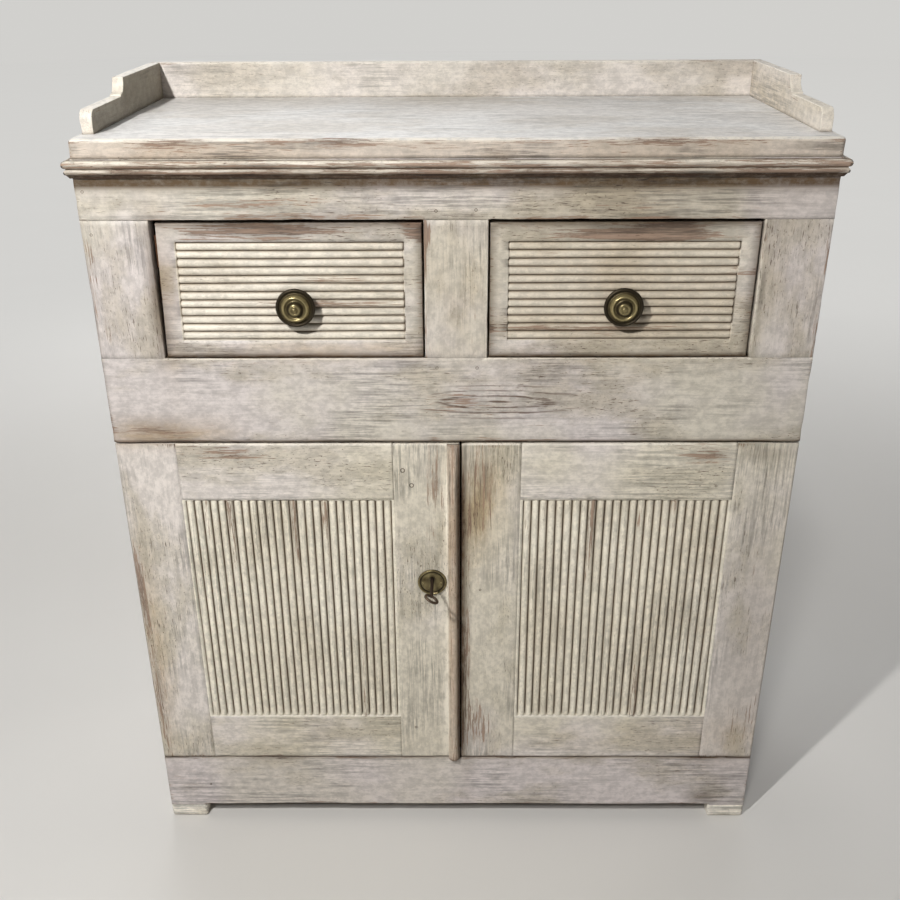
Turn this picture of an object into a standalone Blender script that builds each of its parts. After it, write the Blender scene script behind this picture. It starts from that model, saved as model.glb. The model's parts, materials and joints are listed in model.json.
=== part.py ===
"""Painted pine buffet cabinet: two drawers over two reeded doors, with a stepped gallery round the top.

Units are metres. +Z is up, the front faces -Y, and the origin lies on the floor under the middle of
the cabinet's bounding box.
"""

import math
from collections import namedtuple

import bmesh
import bpy
from mathutils import Vector

# Fits shared by all pieces
SEAT_GAP = 0.0003
OVERCUT = 0.001

# Case
CASE_WIDTH = 0.840
CASE_DEPTH = 0.355
FRONT_THICKNESS = 0.022
SIDE_THICKNESS = 0.022
BACK_THICKNESS = 0.014
BACK_BOARDS = 3
BACK_LAP = 0.010
BACK_REBATE = 0.011
BOTTOM_THICKNESS = 0.020
HOUSING_DEPTH = 0.008

# Storeys, from the floor up
FOOT_HEIGHT = 0.022
FOOT_SIZE = 0.052
FOOT_ARRIS = 0.0025
PLINTH_HEIGHT = 0.089
DOOR_GAP_BELOW = 0.0015
DOOR_HEIGHT = 0.496
DOOR_GAP_ABOVE = 0.0025
APRON_HEIGHT = 0.109
DRAWER_OPENING_HEIGHT = 0.164
TOP_RAIL_HEIGHT = 0.067
TOP_THICKNESS = 0.021
TOP_ROUNDING = 0.004
TOP_ROUNDING_STEPS = 3

# Front frame of the drawer storey
OUTER_STILE_WIDTH = 0.0765
MIDDLE_STILE_WIDTH = 0.073
FRAME_TENON_LENGTH = 0.022
FRAME_TENON_THICKNESS = 0.008
FRAME_TENON_SHOULDER = 0.012

# Gallery round the top
GALLERY_THICKNESS = 0.014
GALLERY_INSET = 0.006
GALLERY_BACK_INSET = 0.002
GALLERY_HIGH = 0.046
GALLERY_LOW = 0.026
GALLERY_NOSE_SETBACK = 0.033
GALLERY_NOSE_RADIUS = 0.011
GALLERY_STEP_SETBACK = 0.150
GALLERY_FILLET = 0.002
GALLERY_ARC_STEPS = 5

# Moulding under the top
MOULDING_HEIGHT = 0.0195
MOULDING_DROP = 0.001
MOULDING_REACH = 0.008
SMALL_BEAD_REACH = 0.0066
BEAD_ROOT_REACH = 0.0046
UPPER_BEAD_HEIGHT = 0.0085
QUIRK_HEIGHT = 0.0013
SMALL_BEAD_HEIGHT = 0.0055
MOULDING_FOOT_REACH = 0.002
MOULDING_ARC_STEPS = 6

# Shelf
SHELF_HEIGHT = 0.345
SHELF_THICKNESS = 0.018
SHELF_SETBACK = 0.030

# Doors
DOOR_BACK_CLEARANCE = 0.0005
DOOR_MEETING_GAP = 0.0015
MEETING_LINE = 0.0045
HINGE_STILE_WIDTH = 0.074
LOCK_STILE_WIDTH = 0.0825
MEETING_STILE_WIDTH = 0.074
DOOR_TOP_RAIL_HEIGHT = 0.078
DOOR_BOTTOM_RAIL_HEIGHT = 0.073
DOOR_TENON_LENGTH = 0.040
DOOR_TENON_INSET = 0.014
DOOR_TENON_THICKNESS = 0.0056
GROOVE_SETBACK = 0.0075
GROOVE_WIDTH = 0.0066
GROOVE_DEPTH = 0.008
TONGUE_CLEARANCE = 0.001
BEAD_WIDTH = 0.0165
BEAD_REACH = 0.0095
BEAD_ARC_STEPS = 8

# Reeds carved into the door panels and drawer fronts
LEFT_PANEL_REEDS = 26
RIGHT_PANEL_REEDS = 25
DRAWER_REEDS = 12
PANEL_REED_DEPTH = 0.0026
DRAWER_REED_DEPTH = 0.0024
PANEL_REED_MARGIN = 0.0035
PANEL_REED_END_MARGIN = 0.0008
DRAWER_REED_MARGIN = 0.021
REED_RUNOUT = 0.004
REED_LIP = 0.0008
REED_WANDER = 0.06
REED_WANDER_STEP = 2.1

# Corner pivots of the doors
PIVOT_DEPTH_SHARE = 0.4
HINGE_EDGE_RADIUS = 0.003
HINGE_ARC_STEPS = 6
PIVOT_PLATE_THICKNESS = 0.002
PIVOT_PLATE_LENGTH = 0.034
PIVOT_PLATE_MARGIN = 0.002
PIVOT_PIN_RADIUS = 0.0025
PIVOT_PIN_REACH = 0.008
PIVOT_COLLAR_RADIUS = 0.0045
PIVOT_SIDES = 16

# Lock of the left door
KEY_AXIS_SETBACK = 0.0363
KEY_AXIS_HEIGHT = 0.4135
KEY_REACH = 0.056
KEY_SHANK_RADIUS = 0.0024
KEY_TURN_AT_REST = 60.0
KEY_BOW_LENGTH = 0.0165
KEY_BOW_WIDTH = 0.0205
KEY_BOW_WIRE = 0.0016
KEY_BOW_STEPS = 20
KEY_WIRE_SIDES = 8
KEY_SHANK_SIDES = 12
KEY_BIT_LENGTH = 0.009
KEY_BIT_WIDTH = 0.0042
KEY_BIT_THICKNESS = 0.0024
KEYHOLE_RADIUS = 0.0032
KEYHOLE_SLOT_WIDTH = 0.0034
KEYHOLE_SLOT_LENGTH = 0.0105
ESCUTCHEON_RADIUS = 0.019
ESCUTCHEON_DROP = 0.0049
ESCUTCHEON_RIM = 0.0012
ESCUTCHEON_DOME = 0.0026
ESCUTCHEON_SIDES = 32
LOCK_WIDTH = 0.056
LOCK_HEIGHT = 0.062
LOCK_DEPTH = 0.013
LOCK_WALL = 0.0018
LOCK_EDGE_SETBACK = 0.006
LOCK_BELOW_KEY = 0.036
BOLT_THICKNESS = 0.0045
BOLT_HEIGHT = 0.016
BOLT_BELOW_KEY = 0.0065
BOLT_END_SETBACK = 0.0015
BOLT_TAIL_CLEARANCE = 0.0075
BOLT_FACE_GAP = 0.002
BOLT_TRAVEL_OUT = 0.008
BOLT_TRAVEL_IN = 0.004
TALON_CLEARANCE = 0.0008

# Turn button of the right door
BUTTON_LONG_ARM = 0.050
BUTTON_SHORT_ARM = 0.012
BUTTON_WIDTH = 0.020
BUTTON_THICKNESS = 0.012
BUTTON_BOSS_HEIGHT = 0.0012
BUTTON_BOSS_RADIUS = 0.008
BUTTON_BELOW_DOOR_TOP = 0.032
BUTTON_EDGE_SETBACK = 0.026
BUTTON_END_STEPS = 6

# Drawers
DRAWER_RECESS = 0.0025
DRAWER_FRONT_CLEARANCE = 0.0005
DRAWER_SIDE_GAP = 0.002
DRAWER_TOP_GAP = 0.004
DRAWER_BOTTOM_GAP = 0.0007
DRAWER_BOARD = 0.011
DRAWER_SIDE_DROP = 0.008
DRAWER_REAR_CLEARANCE = 0.011
DRAWER_BOTTOM_THICKNESS = 0.007
DRAWER_BOTTOM_RISE = 0.008
DRAWER_GROOVE_DEPTH = 0.0055
DRAWER_BACK_DROP = 0.005
TAIL_COUNT = 3
TAIL_LENGTH = 0.012
TAIL_ROOT_SHARE = 0.56
TAIL_TIP_SHARE = 0.74
RUNNER_LEDGE = 0.009
RUNNER_THICKNESS = 0.022
GUIDE_HEIGHT = 0.025
GUIDE_CLEARANCE = 0.001
KICKER_CLEARANCE = 0.002
KICKER_THICKNESS = 0.026

# Turned brass knobs
KNOB_RADIUS = 0.0228
KNOB_REACH = 0.024
KNOB_BASE_RADIUS = 0.009
KNOB_NECK_RADIUS = 0.0062
KNOB_DROP = 0.015
KNOB_LEFT_SHIFT = 0.006
KNOB_RIGHT_SHIFT = 0.0015
KNOB_SIDES = 24
KNOB_POST_RADIUS = 0.0022
KNOB_RIVET_RADIUS = 0.0045
KNOB_RIVET_HEIGHT = 0.0016

# Levels and planes that follow from the sizes above
PLINTH_TOP = FOOT_HEIGHT + PLINTH_HEIGHT
DOOR_BOTTOM = PLINTH_TOP + DOOR_GAP_BELOW
DOOR_TOP = DOOR_BOTTOM + DOOR_HEIGHT
APRON_BOTTOM = DOOR_TOP + DOOR_GAP_ABOVE
APRON_TOP = APRON_BOTTOM + APRON_HEIGHT
RAIL_BOTTOM = APRON_TOP + DRAWER_OPENING_HEIGHT
RAIL_TOP = RAIL_BOTTOM + TOP_RAIL_HEIGHT
TOP_TOP = RAIL_TOP + TOP_THICKNESS
PANEL_BOTTOM = DOOR_BOTTOM + DOOR_BOTTOM_RAIL_HEIGHT
PANEL_TOP = DOOR_TOP - DOOR_TOP_RAIL_HEIGHT
FRONT = -(CASE_DEPTH - KEY_REACH) / 2
FRAME_BACK = FRONT + FRONT_THICKNESS
BACK = FRONT + CASE_DEPTH
BACK_INNER = BACK - BACK_THICKNESS
HALF = CASE_WIDTH / 2
INNER = HALF - SIDE_THICKNESS
DOOR_THICKNESS = FRONT_THICKNESS - DOOR_BACK_CLEARANCE
DOOR_BACK = FRONT + DOOR_THICKNESS
DRAWER_FACE = FRONT + DRAWER_RECESS
DRAWER_FRONT_BACK = FRAME_BACK - DRAWER_FRONT_CLEARANCE
GROOVE_FRONT = FRONT + GROOVE_SETBACK
GROOVE_BACK = GROOVE_FRONT + GROOVE_WIDTH
GROOVE_MIDDLE = (GROOVE_FRONT + GROOVE_BACK) / 2

# The pivot axis: the outer front corner swings on the same radius as the rounded outer back corner
PIVOT_DEPTH = DOOR_THICKNESS * PIVOT_DEPTH_SHARE
SWING_RADIUS = DOOR_THICKNESS - PIVOT_DEPTH
PIVOT_INSET = HINGE_EDGE_RADIUS + math.sqrt(
    (SWING_RADIUS - HINGE_EDGE_RADIUS) ** 2 - (PIVOT_DEPTH - HINGE_EDGE_RADIUS) ** 2
)
PIVOT_X = HALF - PIVOT_INSET
PIVOT_Y = FRONT + PIVOT_DEPTH

KEY_X = MEETING_LINE - KEY_AXIS_SETBACK
BUTTON_X = MEETING_LINE + DOOR_MEETING_GAP + BUTTON_EDGE_SETBACK
BUTTON_Z = DOOR_TOP - BUTTON_BELOW_DOOR_TOP

Finish = namedtuple("Finish", "colour roughness metallic")
Anchor = namedtuple("Anchor", "empty place")

FRAME_PAINT = Finish((0.62, 0.58, 0.54), 0.75, 0.0)
REED_PAINT = Finish((0.68, 0.65, 0.56), 0.72, 0.0)
BARE_PINE = Finish((0.52, 0.36, 0.21), 0.8, 0.0)
BRASS = Finish((0.34, 0.27, 0.12), 0.42, 1.0)
IRON = Finish((0.12, 0.10, 0.09), 0.6, 1.0)


def clear_scene():
    """Remove every object of the scene the script starts in."""
    for leftover in list(bpy.data.objects):
        bpy.data.objects.remove(leftover, do_unlink=True)


def make_anchor(name, place, parent=None):
    """Put an empty at a joint's axis, or at the origin for the fixed case."""
    empty = bpy.data.objects.new(name, None)
    empty.empty_display_size = 0.05
    bpy.context.scene.collection.objects.link(empty)
    place = Vector(place)
    if parent:
        empty.parent = parent.empty
        empty.location = place - parent.place
    else:
        empty.location = place
    return Anchor(empty, place)


def make_material(name, finish):
    """Give a piece its own Principled material."""
    material = bpy.data.materials.new(name + "_finish")
    material.use_nodes = True
    shader = material.node_tree.nodes["Principled BSDF"]
    shader.inputs["Base Color"].default_value = (*finish.colour, 1.0)
    shader.inputs["Roughness"].default_value = finish.roughness
    shader.inputs["Metallic"].default_value = finish.metallic
    material.diffuse_color = (*finish.colour, 1.0)
    return material


def link_mesh(name, bm, anchor):
    """Turn a bmesh drawn in world coordinates into an object that hangs on an anchor."""
    bmesh.ops.remove_doubles(bm, verts=bm.verts, dist=1e-6)
    bmesh.ops.recalc_face_normals(bm, faces=bm.faces)
    bmesh.ops.translate(bm, verts=bm.verts, vec=-anchor.place)
    mesh = bpy.data.meshes.new(name)
    bm.to_mesh(mesh)
    bm.free()
    piece = bpy.data.objects.new(name, mesh)
    piece.parent = anchor.empty
    bpy.context.scene.collection.objects.link(piece)
    return piece


def add_piece(name, bm, finish, anchor, smooth_degrees=None):
    """Add one sub-part with its own material."""
    piece = link_mesh(name, bm, anchor)
    piece.data.materials.append(make_material(name, finish))
    if smooth_degrees:
        piece.data.shade_smooth()
        piece.data.set_sharp_from_angle(angle=math.radians(smooth_degrees))
    return piece


def combine(piece, bm, anchor, operation):
    """Cut a shape out of a piece, or join a shape to it."""
    guide = link_mesh(f"{piece.name}_{operation.lower()}_{len(piece.modifiers)}", bm, anchor)
    guide.hide_render = True
    guide.display_type = "WIRE"
    modifier = piece.modifiers.new(operation.title(), "BOOLEAN")
    modifier.operation = operation
    modifier.solver = "EXACT"
    modifier.object = guide


def cut(piece, bm, anchor):
    """Cut a shape out of a piece."""
    combine(piece, bm, anchor, "DIFFERENCE")


def join(piece, bm, anchor):
    """Join a shape to a piece as one solid."""
    combine(piece, bm, anchor, "UNION")


def add_loft(bm, rings):
    """Skin a row of rings of points and close both ends."""
    loops = [[bm.verts.new(point) for point in ring] for ring in rings]
    close_loops(bm, loops)
    bm.faces.new(loops[0])


def close_loops(bm, loops):
    """Skin loops of vertices, and cap the last one."""
    for lower, upper in zip(loops, loops[1:]):
        for i in range(len(lower)):
            j = (i + 1) % len(lower)
            bm.faces.new((lower[i], lower[j], upper[j], upper[i]))
    bm.faces.new(loops[-1])


def on_axis(axis, along, a, b):
    """Place a point of an outline: (y, z) across X, (x, z) across Y and (x, y) across Z."""
    return {"X": (along, a, b), "Y": (a, along, b), "Z": (a, b, along)}[axis]


def add_prism(bm, outline, axis, start, end):
    """Push an outline along an axis. An end may be a function of the outline's point, for a mitre."""
    first = start if callable(start) else lambda a, b: start
    last = end if callable(end) else lambda a, b: end
    add_loft(bm, [
        [on_axis(axis, first(a, b), a, b) for a, b in outline],
        [on_axis(axis, last(a, b), a, b) for a, b in outline],
    ])


def rectangle(a, b):
    """Corners of a rectangle from its two spans."""
    return [(a[0], b[0]), (a[1], b[0]), (a[1], b[1]), (a[0], b[1])]


def add_box(bm, x, y, z):
    """Add a box from its spans along X, Y and Z."""
    add_prism(bm, rectangle(x, y), "Z", *z)


def make_box(x, y, z):
    """Start a bmesh that holds one box."""
    bm = bmesh.new()
    add_box(bm, x, y, z)
    return bm


def arc(centre, radius, start, end, steps):
    """Points on an arc from one angle to another, in degrees."""
    angles = [math.radians(start + (end - start) * i / steps) for i in range(steps + 1)]
    return [(centre[0] + radius * math.cos(t), centre[1] + radius * math.sin(t)) for t in angles]


def add_turned(bm, profile, centre, axis, sides):
    """Spin a profile of (radius, height along the axis) round an axis through a centre."""
    direction = Vector(axis)
    outward = Vector((1, 0, 0))
    origin = Vector(centre)
    points = [bm.verts.new(origin + outward * radius + direction * height) for radius, height in profile]
    edges = [bm.edges.new(pair) for pair in zip(points, points[1:])]
    bmesh.ops.spin(
        bm, geom=points + edges, cent=origin, axis=direction, angle=math.tau, steps=sides, use_merge=True
    )
    bmesh.ops.remove_doubles(bm, verts=bm.verts, dist=1e-6)


def rod(radius, span):
    """Profile of a plain round rod between two heights."""
    return [(0.0, span[0]), (radius, span[0]), (radius, span[1]), (0.0, span[1])]


def mirrored(span, side):
    """A span along X on the left (-1) or the right (+1), given its distances from the middle."""
    return tuple(sorted((side * span[0], side * span[1])))


def grown(span, amount):
    """A span made longer by an amount at each end."""
    return (span[0] - amount, span[1] + amount)


def bottom_spans():
    """Depth and height of the bottom board."""
    return (FRAME_BACK + SEAT_GAP, BACK_INNER), (PLINTH_TOP - BOTTOM_THICKNESS, PLINTH_TOP)


def shelf_spans():
    """Depth and height of the shelf."""
    return (FRAME_BACK + SHELF_SETBACK, BACK_INNER), (SHELF_HEIGHT, SHELF_HEIGHT + SHELF_THICKNESS)


def make_sides(case):
    """Side boards, rebated behind for the back boards and housed for the bottom board and the shelf."""
    for name, side in (("side_panel_left", -1), ("side_panel_right", 1)):
        front = FRAME_BACK + SEAT_GAP
        lip = HALF - SIDE_THICKNESS + BACK_REBATE
        outline = [(HALF, front), (INNER, front), (INNER, BACK_INNER), (lip, BACK_INNER)]
        outline += [(lip, BACK), (HALF, BACK)]
        bm = bmesh.new()
        add_prism(bm, [(side * x, y) for x, y in outline], "Z", FOOT_HEIGHT, RAIL_TOP - SEAT_GAP)
        board = add_piece(name, bm, FRAME_PAINT, case)
        housing = mirrored((INNER - OVERCUT, INNER + HOUSING_DEPTH), side)
        housings = bmesh.new()
        for depth, height in (bottom_spans(), shelf_spans()):
            near = depth[0] - SEAT_GAP - (OVERCUT if depth[0] <= front else 0.0)
            add_box(housings, housing, (near, BACK_INNER + OVERCUT), grown(height, SEAT_GAP))
        cut(board, housings, case)


def make_back(case):
    """Upright back boards with half-lapped edges, set in the rebates of the sides."""
    reach = HALF - SIDE_THICKNESS + BACK_REBATE - SEAT_GAP
    width = 2 * reach / BACK_BOARDS
    inner = BACK_INNER + SEAT_GAP
    middle = (inner + BACK) / 2
    half_gap = SEAT_GAP / 2
    for i in range(BACK_BOARDS):
        left = -reach + i * width
        right = left + width
        outline = [(left, inner), (left, BACK)]
        if i > 0:
            front_edge = left - BACK_LAP / 2 + half_gap
            rear_edge = left + BACK_LAP / 2 + half_gap
            outline = [(front_edge, inner), (front_edge, middle - half_gap), (rear_edge, middle - half_gap),
                       (rear_edge, BACK)]
        if i < BACK_BOARDS - 1:
            front_edge = right - BACK_LAP / 2 - half_gap
            rear_edge = right + BACK_LAP / 2 - half_gap
            outline += [(rear_edge, BACK), (rear_edge, middle + half_gap), (front_edge, middle + half_gap),
                        (front_edge, inner)]
        else:
            outline += [(right, BACK), (right, inner)]
        bm = bmesh.new()
        add_prism(bm, outline, "Z", FOOT_HEIGHT, RAIL_TOP - SEAT_GAP)
        add_piece(f"back_board_{i + 1}", bm, BARE_PINE, case)


def make_bottom_and_shelf(case):
    """Bottom board and shelf, both housed in the sides."""
    reach = INNER + HOUSING_DEPTH - SEAT_GAP
    for name, spans in (("bottom_board", bottom_spans()), ("shelf_board", shelf_spans())):
        add_piece(name, make_box((-reach, reach), *spans), BARE_PINE, case)


def frame_stiles():
    """Names and spans along X of the three upright members between the drawers."""
    return [
        ("drawer_stile_left", (-HALF, OUTER_STILE_WIDTH - HALF)),
        ("drawer_stile_middle", (-MIDDLE_STILE_WIDTH / 2, MIDDLE_STILE_WIDTH / 2)),
        ("drawer_stile_right", (HALF - OUTER_STILE_WIDTH, HALF)),
    ]


def frame_tenon(span):
    """Spans along X and Y of a stile's tenon."""
    middle = (FRONT + FRAME_BACK) / 2
    thickness = (middle - FRAME_TENON_THICKNESS / 2, middle + FRAME_TENON_THICKNESS / 2)
    return (span[0] + FRAME_TENON_SHOULDER, span[1] - FRAME_TENON_SHOULDER), thickness


def make_front_frame(case, pivots):
    """Top rail, three stiles tenoned into it, apron rail and plinth rail."""
    depth = (FRONT, FRAME_BACK)
    width = (-HALF, HALF)
    top_box = make_box(width, depth, (RAIL_BOTTOM, RAIL_TOP - SEAT_GAP))
    top_rail = add_piece("front_top_rail", top_box, FRAME_PAINT, case)
    apron_box = make_box(width, depth, (APRON_BOTTOM, APRON_TOP))
    apron = add_piece("apron_rail", apron_box, FRAME_PAINT, case)
    plinth_box = make_box(width, depth, (FOOT_HEIGHT, PLINTH_TOP))
    plinth = add_piece("plinth_rail", plinth_box, FRAME_PAINT, case)

    top_mortises = bmesh.new()
    apron_mortises = bmesh.new()
    for name, span in frame_stiles():
        tenon_x, tenon_y = frame_tenon(span)
        tenon = rectangle(tenon_x, tenon_y)
        body = rectangle(span, depth)
        foot = APRON_TOP + SEAT_GAP
        head = RAIL_BOTTOM - SEAT_GAP
        levels = [(APRON_TOP - FRAME_TENON_LENGTH, tenon), (foot, tenon), (foot, body),
                  (head, body), (head, tenon), (RAIL_BOTTOM + FRAME_TENON_LENGTH, tenon)]
        bm = bmesh.new()
        add_loft(bm, [[(x, y, z) for x, y in outline] for z, outline in levels])
        add_piece(name, bm, FRAME_PAINT, case)
        mortise = (grown(tenon_x, SEAT_GAP), grown(tenon_y, SEAT_GAP))
        room = FRAME_TENON_LENGTH + OVERCUT
        add_box(top_mortises, *mortise, (RAIL_BOTTOM - OVERCUT, RAIL_BOTTOM + room))
        add_box(apron_mortises, *mortise, (APRON_TOP - room, APRON_TOP + OVERCUT))
    cut(top_rail, top_mortises, case)
    cut(apron, apron_mortises, case)

    apron_pockets = bmesh.new()
    plinth_pockets = bmesh.new()
    pocket = PIVOT_PLATE_THICKNESS + SEAT_GAP
    for pivot in pivots:
        plate_x, plate_y = pivot_plate(pivot)
        spans = (grown(plate_x, SEAT_GAP), grown(plate_y, SEAT_GAP))
        add_box(apron_pockets, *spans, (APRON_BOTTOM - OVERCUT, APRON_BOTTOM + pocket))
        add_box(plinth_pockets, *spans, (PLINTH_TOP - pocket, PLINTH_TOP + OVERCUT))
    cut(apron, apron_pockets, case)
    cut(plinth, plinth_pockets, case)


def make_feet(case):
    """Block feet under the four corners."""
    for depth_name, near in (("front", FRONT), ("rear", BACK - FOOT_SIZE)):
        for side_name, side in (("left", -1), ("right", 1)):
            span = mirrored((HALF - FOOT_SIZE, HALF), side)
            bm = make_box(span, (near, near + FOOT_SIZE), (0.0, FOOT_HEIGHT - SEAT_GAP))
            bmesh.ops.bevel(bm, geom=list(bm.edges), offset=FOOT_ARRIS, segments=1, affect="EDGES")
            add_piece(f"foot_{depth_name}_{side_name}", bm, FRAME_PAINT, case)


def make_top(case):
    """Top board, its three upper edges and two front corners rounded."""
    bm = make_box((-HALF, HALF), (FRONT, BACK), (RAIL_TOP, TOP_TOP))
    rounded = []
    for edge in bm.edges:
        middle = (edge.verts[0].co + edge.verts[1].co) / 2
        on_top = middle.z > TOP_TOP - SEAT_GAP and middle.y < BACK - SEAT_GAP
        front_corner = middle.y < FRONT + SEAT_GAP and abs(middle.x) > HALF - SEAT_GAP
        if on_top or front_corner:
            rounded.append(edge)
    bmesh.ops.bevel(
        bm, geom=rounded, offset=TOP_ROUNDING, segments=TOP_ROUNDING_STEPS, profile=0.5, affect="EDGES"
    )
    add_piece("top_board", bm, FRAME_PAINT, case)


def make_gallery(case):
    """Back board of the gallery, and side boards that step down in a cove towards the front."""
    foot = TOP_TOP + SEAT_GAP
    outer = HALF - GALLERY_INSET
    back_face = BACK - GALLERY_BACK_INSET
    front_face = back_face - GALLERY_THICKNESS
    back = make_box((-outer, outer), (front_face, back_face), (foot, TOP_TOP + GALLERY_HIGH))
    add_piece("gallery_back", back, FRAME_PAINT, case)

    nose = FRONT + GALLERY_NOSE_SETBACK
    step = FRONT + GALLERY_STEP_SETBACK
    low = TOP_TOP + GALLERY_LOW
    high = TOP_TOP + GALLERY_HIGH
    cove = high - low - 2 * GALLERY_FILLET
    nose_centre = (nose + GALLERY_NOSE_RADIUS, low - GALLERY_NOSE_RADIUS)
    cove_centre = (step, high - GALLERY_FILLET)
    outline = [(nose, foot)]
    outline += arc(nose_centre, GALLERY_NOSE_RADIUS, 180, 90, GALLERY_ARC_STEPS)
    outline += [(step, low)]
    outline += arc(cove_centre, cove, 270, 360, GALLERY_ARC_STEPS)
    outline += [(step + cove, high), (front_face - SEAT_GAP, high), (front_face - SEAT_GAP, foot)]
    for name, side in (("gallery_left", -1), ("gallery_right", 1)):
        bm = bmesh.new()
        add_prism(bm, outline, "X", *mirrored((outer - GALLERY_THICKNESS, outer), side))
        add_piece(name, bm, FRAME_PAINT, case)


def bead_points(root, reach, top, bottom):
    """Half-round bead between two heights, from its upper root to its lower one."""
    middle = (top + bottom) / 2
    half = (top - bottom) / 2
    angles = [math.pi / 2 - math.pi * i / MOULDING_ARC_STEPS for i in range(MOULDING_ARC_STEPS + 1)]
    return [(root + (reach - root) * math.cos(t), middle + half * math.sin(t)) for t in angles]


def moulding_profile():
    """Reach and height of the moulding: a bead, a quirk, a smaller bead and a splayed foot."""
    top = RAIL_TOP - MOULDING_DROP
    quirk_top = top - UPPER_BEAD_HEIGHT
    quirk_bottom = quirk_top - QUIRK_HEIGHT
    small_bottom = quirk_bottom - SMALL_BEAD_HEIGHT
    points = [(SEAT_GAP, top)]
    points += bead_points(BEAD_ROOT_REACH, MOULDING_REACH, top, quirk_top)
    points += bead_points(BEAD_ROOT_REACH, SMALL_BEAD_REACH, quirk_bottom, small_bottom)
    points += [(MOULDING_FOOT_REACH, top - MOULDING_HEIGHT), (SEAT_GAP, top - MOULDING_HEIGHT)]
    return points


def make_moulding(case):
    """Moulding strips round the front and the two sides, mitred at the front corners."""
    profile = moulding_profile()
    front = bmesh.new()
    add_prism(front, [(FRONT - reach, z) for reach, z in profile], "X",
              lambda y, z: -HALF - (FRONT - y), lambda y, z: HALF + (FRONT - y))
    add_piece("top_moulding_front", front, FRAME_PAINT, case)
    mitre_gap = SEAT_GAP * math.sqrt(2)
    for name, side in (("top_moulding_left", -1), ("top_moulding_right", 1)):
        bm = bmesh.new()
        add_prism(bm, [(side * (HALF + reach), z) for reach, z in profile], "Y",
                  lambda x, z: FRONT - (abs(x) - HALF) + mitre_gap, BACK)
        add_piece(name, bm, FRAME_PAINT, case)


def pivot_plate(side):
    """Spans along X and Y of a pivot plate on the left (-1) or right (+1)."""
    outer = PIVOT_X + PIVOT_INSET - PIVOT_PLATE_MARGIN
    width = PIVOT_DEPTH - PIVOT_PLATE_MARGIN
    return mirrored((outer - PIVOT_PLATE_LENGTH, outer), side), (PIVOT_Y - width, PIVOT_Y + width)


def make_pivots(case, doors):
    """Iron plates let into the apron and plinth, each with a pin that a door turns on."""
    inside = PIVOT_PLATE_THICKNESS / 2
    for side in doors:
        name = "left" if side < 0 else "right"
        spans = pivot_plate(side)
        centre = (side * PIVOT_X, PIVOT_Y, 0.0)

        plate = make_box(*spans, (APRON_BOTTOM, APRON_BOTTOM + PIVOT_PLATE_THICKNESS))
        upper = add_piece(f"pivot_top_{name}", plate, IRON, case)
        tip = DOOR_TOP - PIVOT_PIN_REACH
        root = APRON_BOTTOM + inside
        pin = bmesh.new()
        add_turned(pin, rod(PIVOT_PIN_RADIUS, (tip, root)), centre, (0, 0, 1), PIVOT_SIDES)
        join(upper, pin, case)

        plate = make_box(*spans, (PLINTH_TOP - PIVOT_PLATE_THICKNESS, PLINTH_TOP))
        lower = add_piece(f"pivot_bottom_{name}", plate, IRON, case)
        tip = DOOR_BOTTOM + PIVOT_PIN_REACH
        root = PLINTH_TOP - inside
        collar = DOOR_BOTTOM - SEAT_GAP
        pin = bmesh.new()
        add_turned(pin, [(0.0, root), (PIVOT_COLLAR_RADIUS, root), (PIVOT_COLLAR_RADIUS, collar),
                         (PIVOT_PIN_RADIUS, collar), (PIVOT_PIN_RADIUS, tip), (0.0, tip)],
                   centre, (0, 0, 1), PIVOT_SIDES)
        join(lower, pin, case)


def pin_bores(side, radius):
    """Cylinders round both pivot pins of a door, a little longer than the pins."""
    bm = bmesh.new()
    room = PIVOT_PIN_REACH + OVERCUT
    for span in ((DOOR_TOP - room, DOOR_TOP + OVERCUT), (DOOR_BOTTOM - OVERCUT, DOOR_BOTTOM + room)):
        add_turned(bm, rod(radius, span), (side * PIVOT_X, PIVOT_Y, 0.0), (0, 0, 1), PIVOT_SIDES)
    return bm


def fan(bm, start, end, chain):
    """Fill between an edge, given by its two corners, and a chain of vertices beside it."""
    middle = len(chain) // 2
    for i, (a, b) in enumerate(zip(chain, chain[1:])):
        bm.faces.new((start if i < middle else end, a, b))
    bm.faces.new((start, chain[middle], end))


def reed_stations(span, count, depth):
    """Places across a reeded field, each with the depth carved there: round reeds, sharp grooves."""
    first = span[0] + REED_LIP
    pitch = (span[1] - span[0] - 2 * REED_LIP) / count
    grooves = [first + i * pitch for i in range(count + 1)]
    for i in range(1, count):
        grooves[i] += REED_WANDER * pitch * math.sin(REED_WANDER_STEP * i)
    stations = [(span[0], 0.0)]
    for left, right in zip(grooves, grooves[1:]):
        for share in (0.0, 0.15, 0.5, 0.85):
            roundness = math.sqrt(1.0 - (2 * share - 1.0) ** 2)
            stations.append((left + share * (right - left), depth * (1.0 - roundness)))
    stations += [(grooves[-1], depth), (span[1], 0.0)]
    return stations


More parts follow.
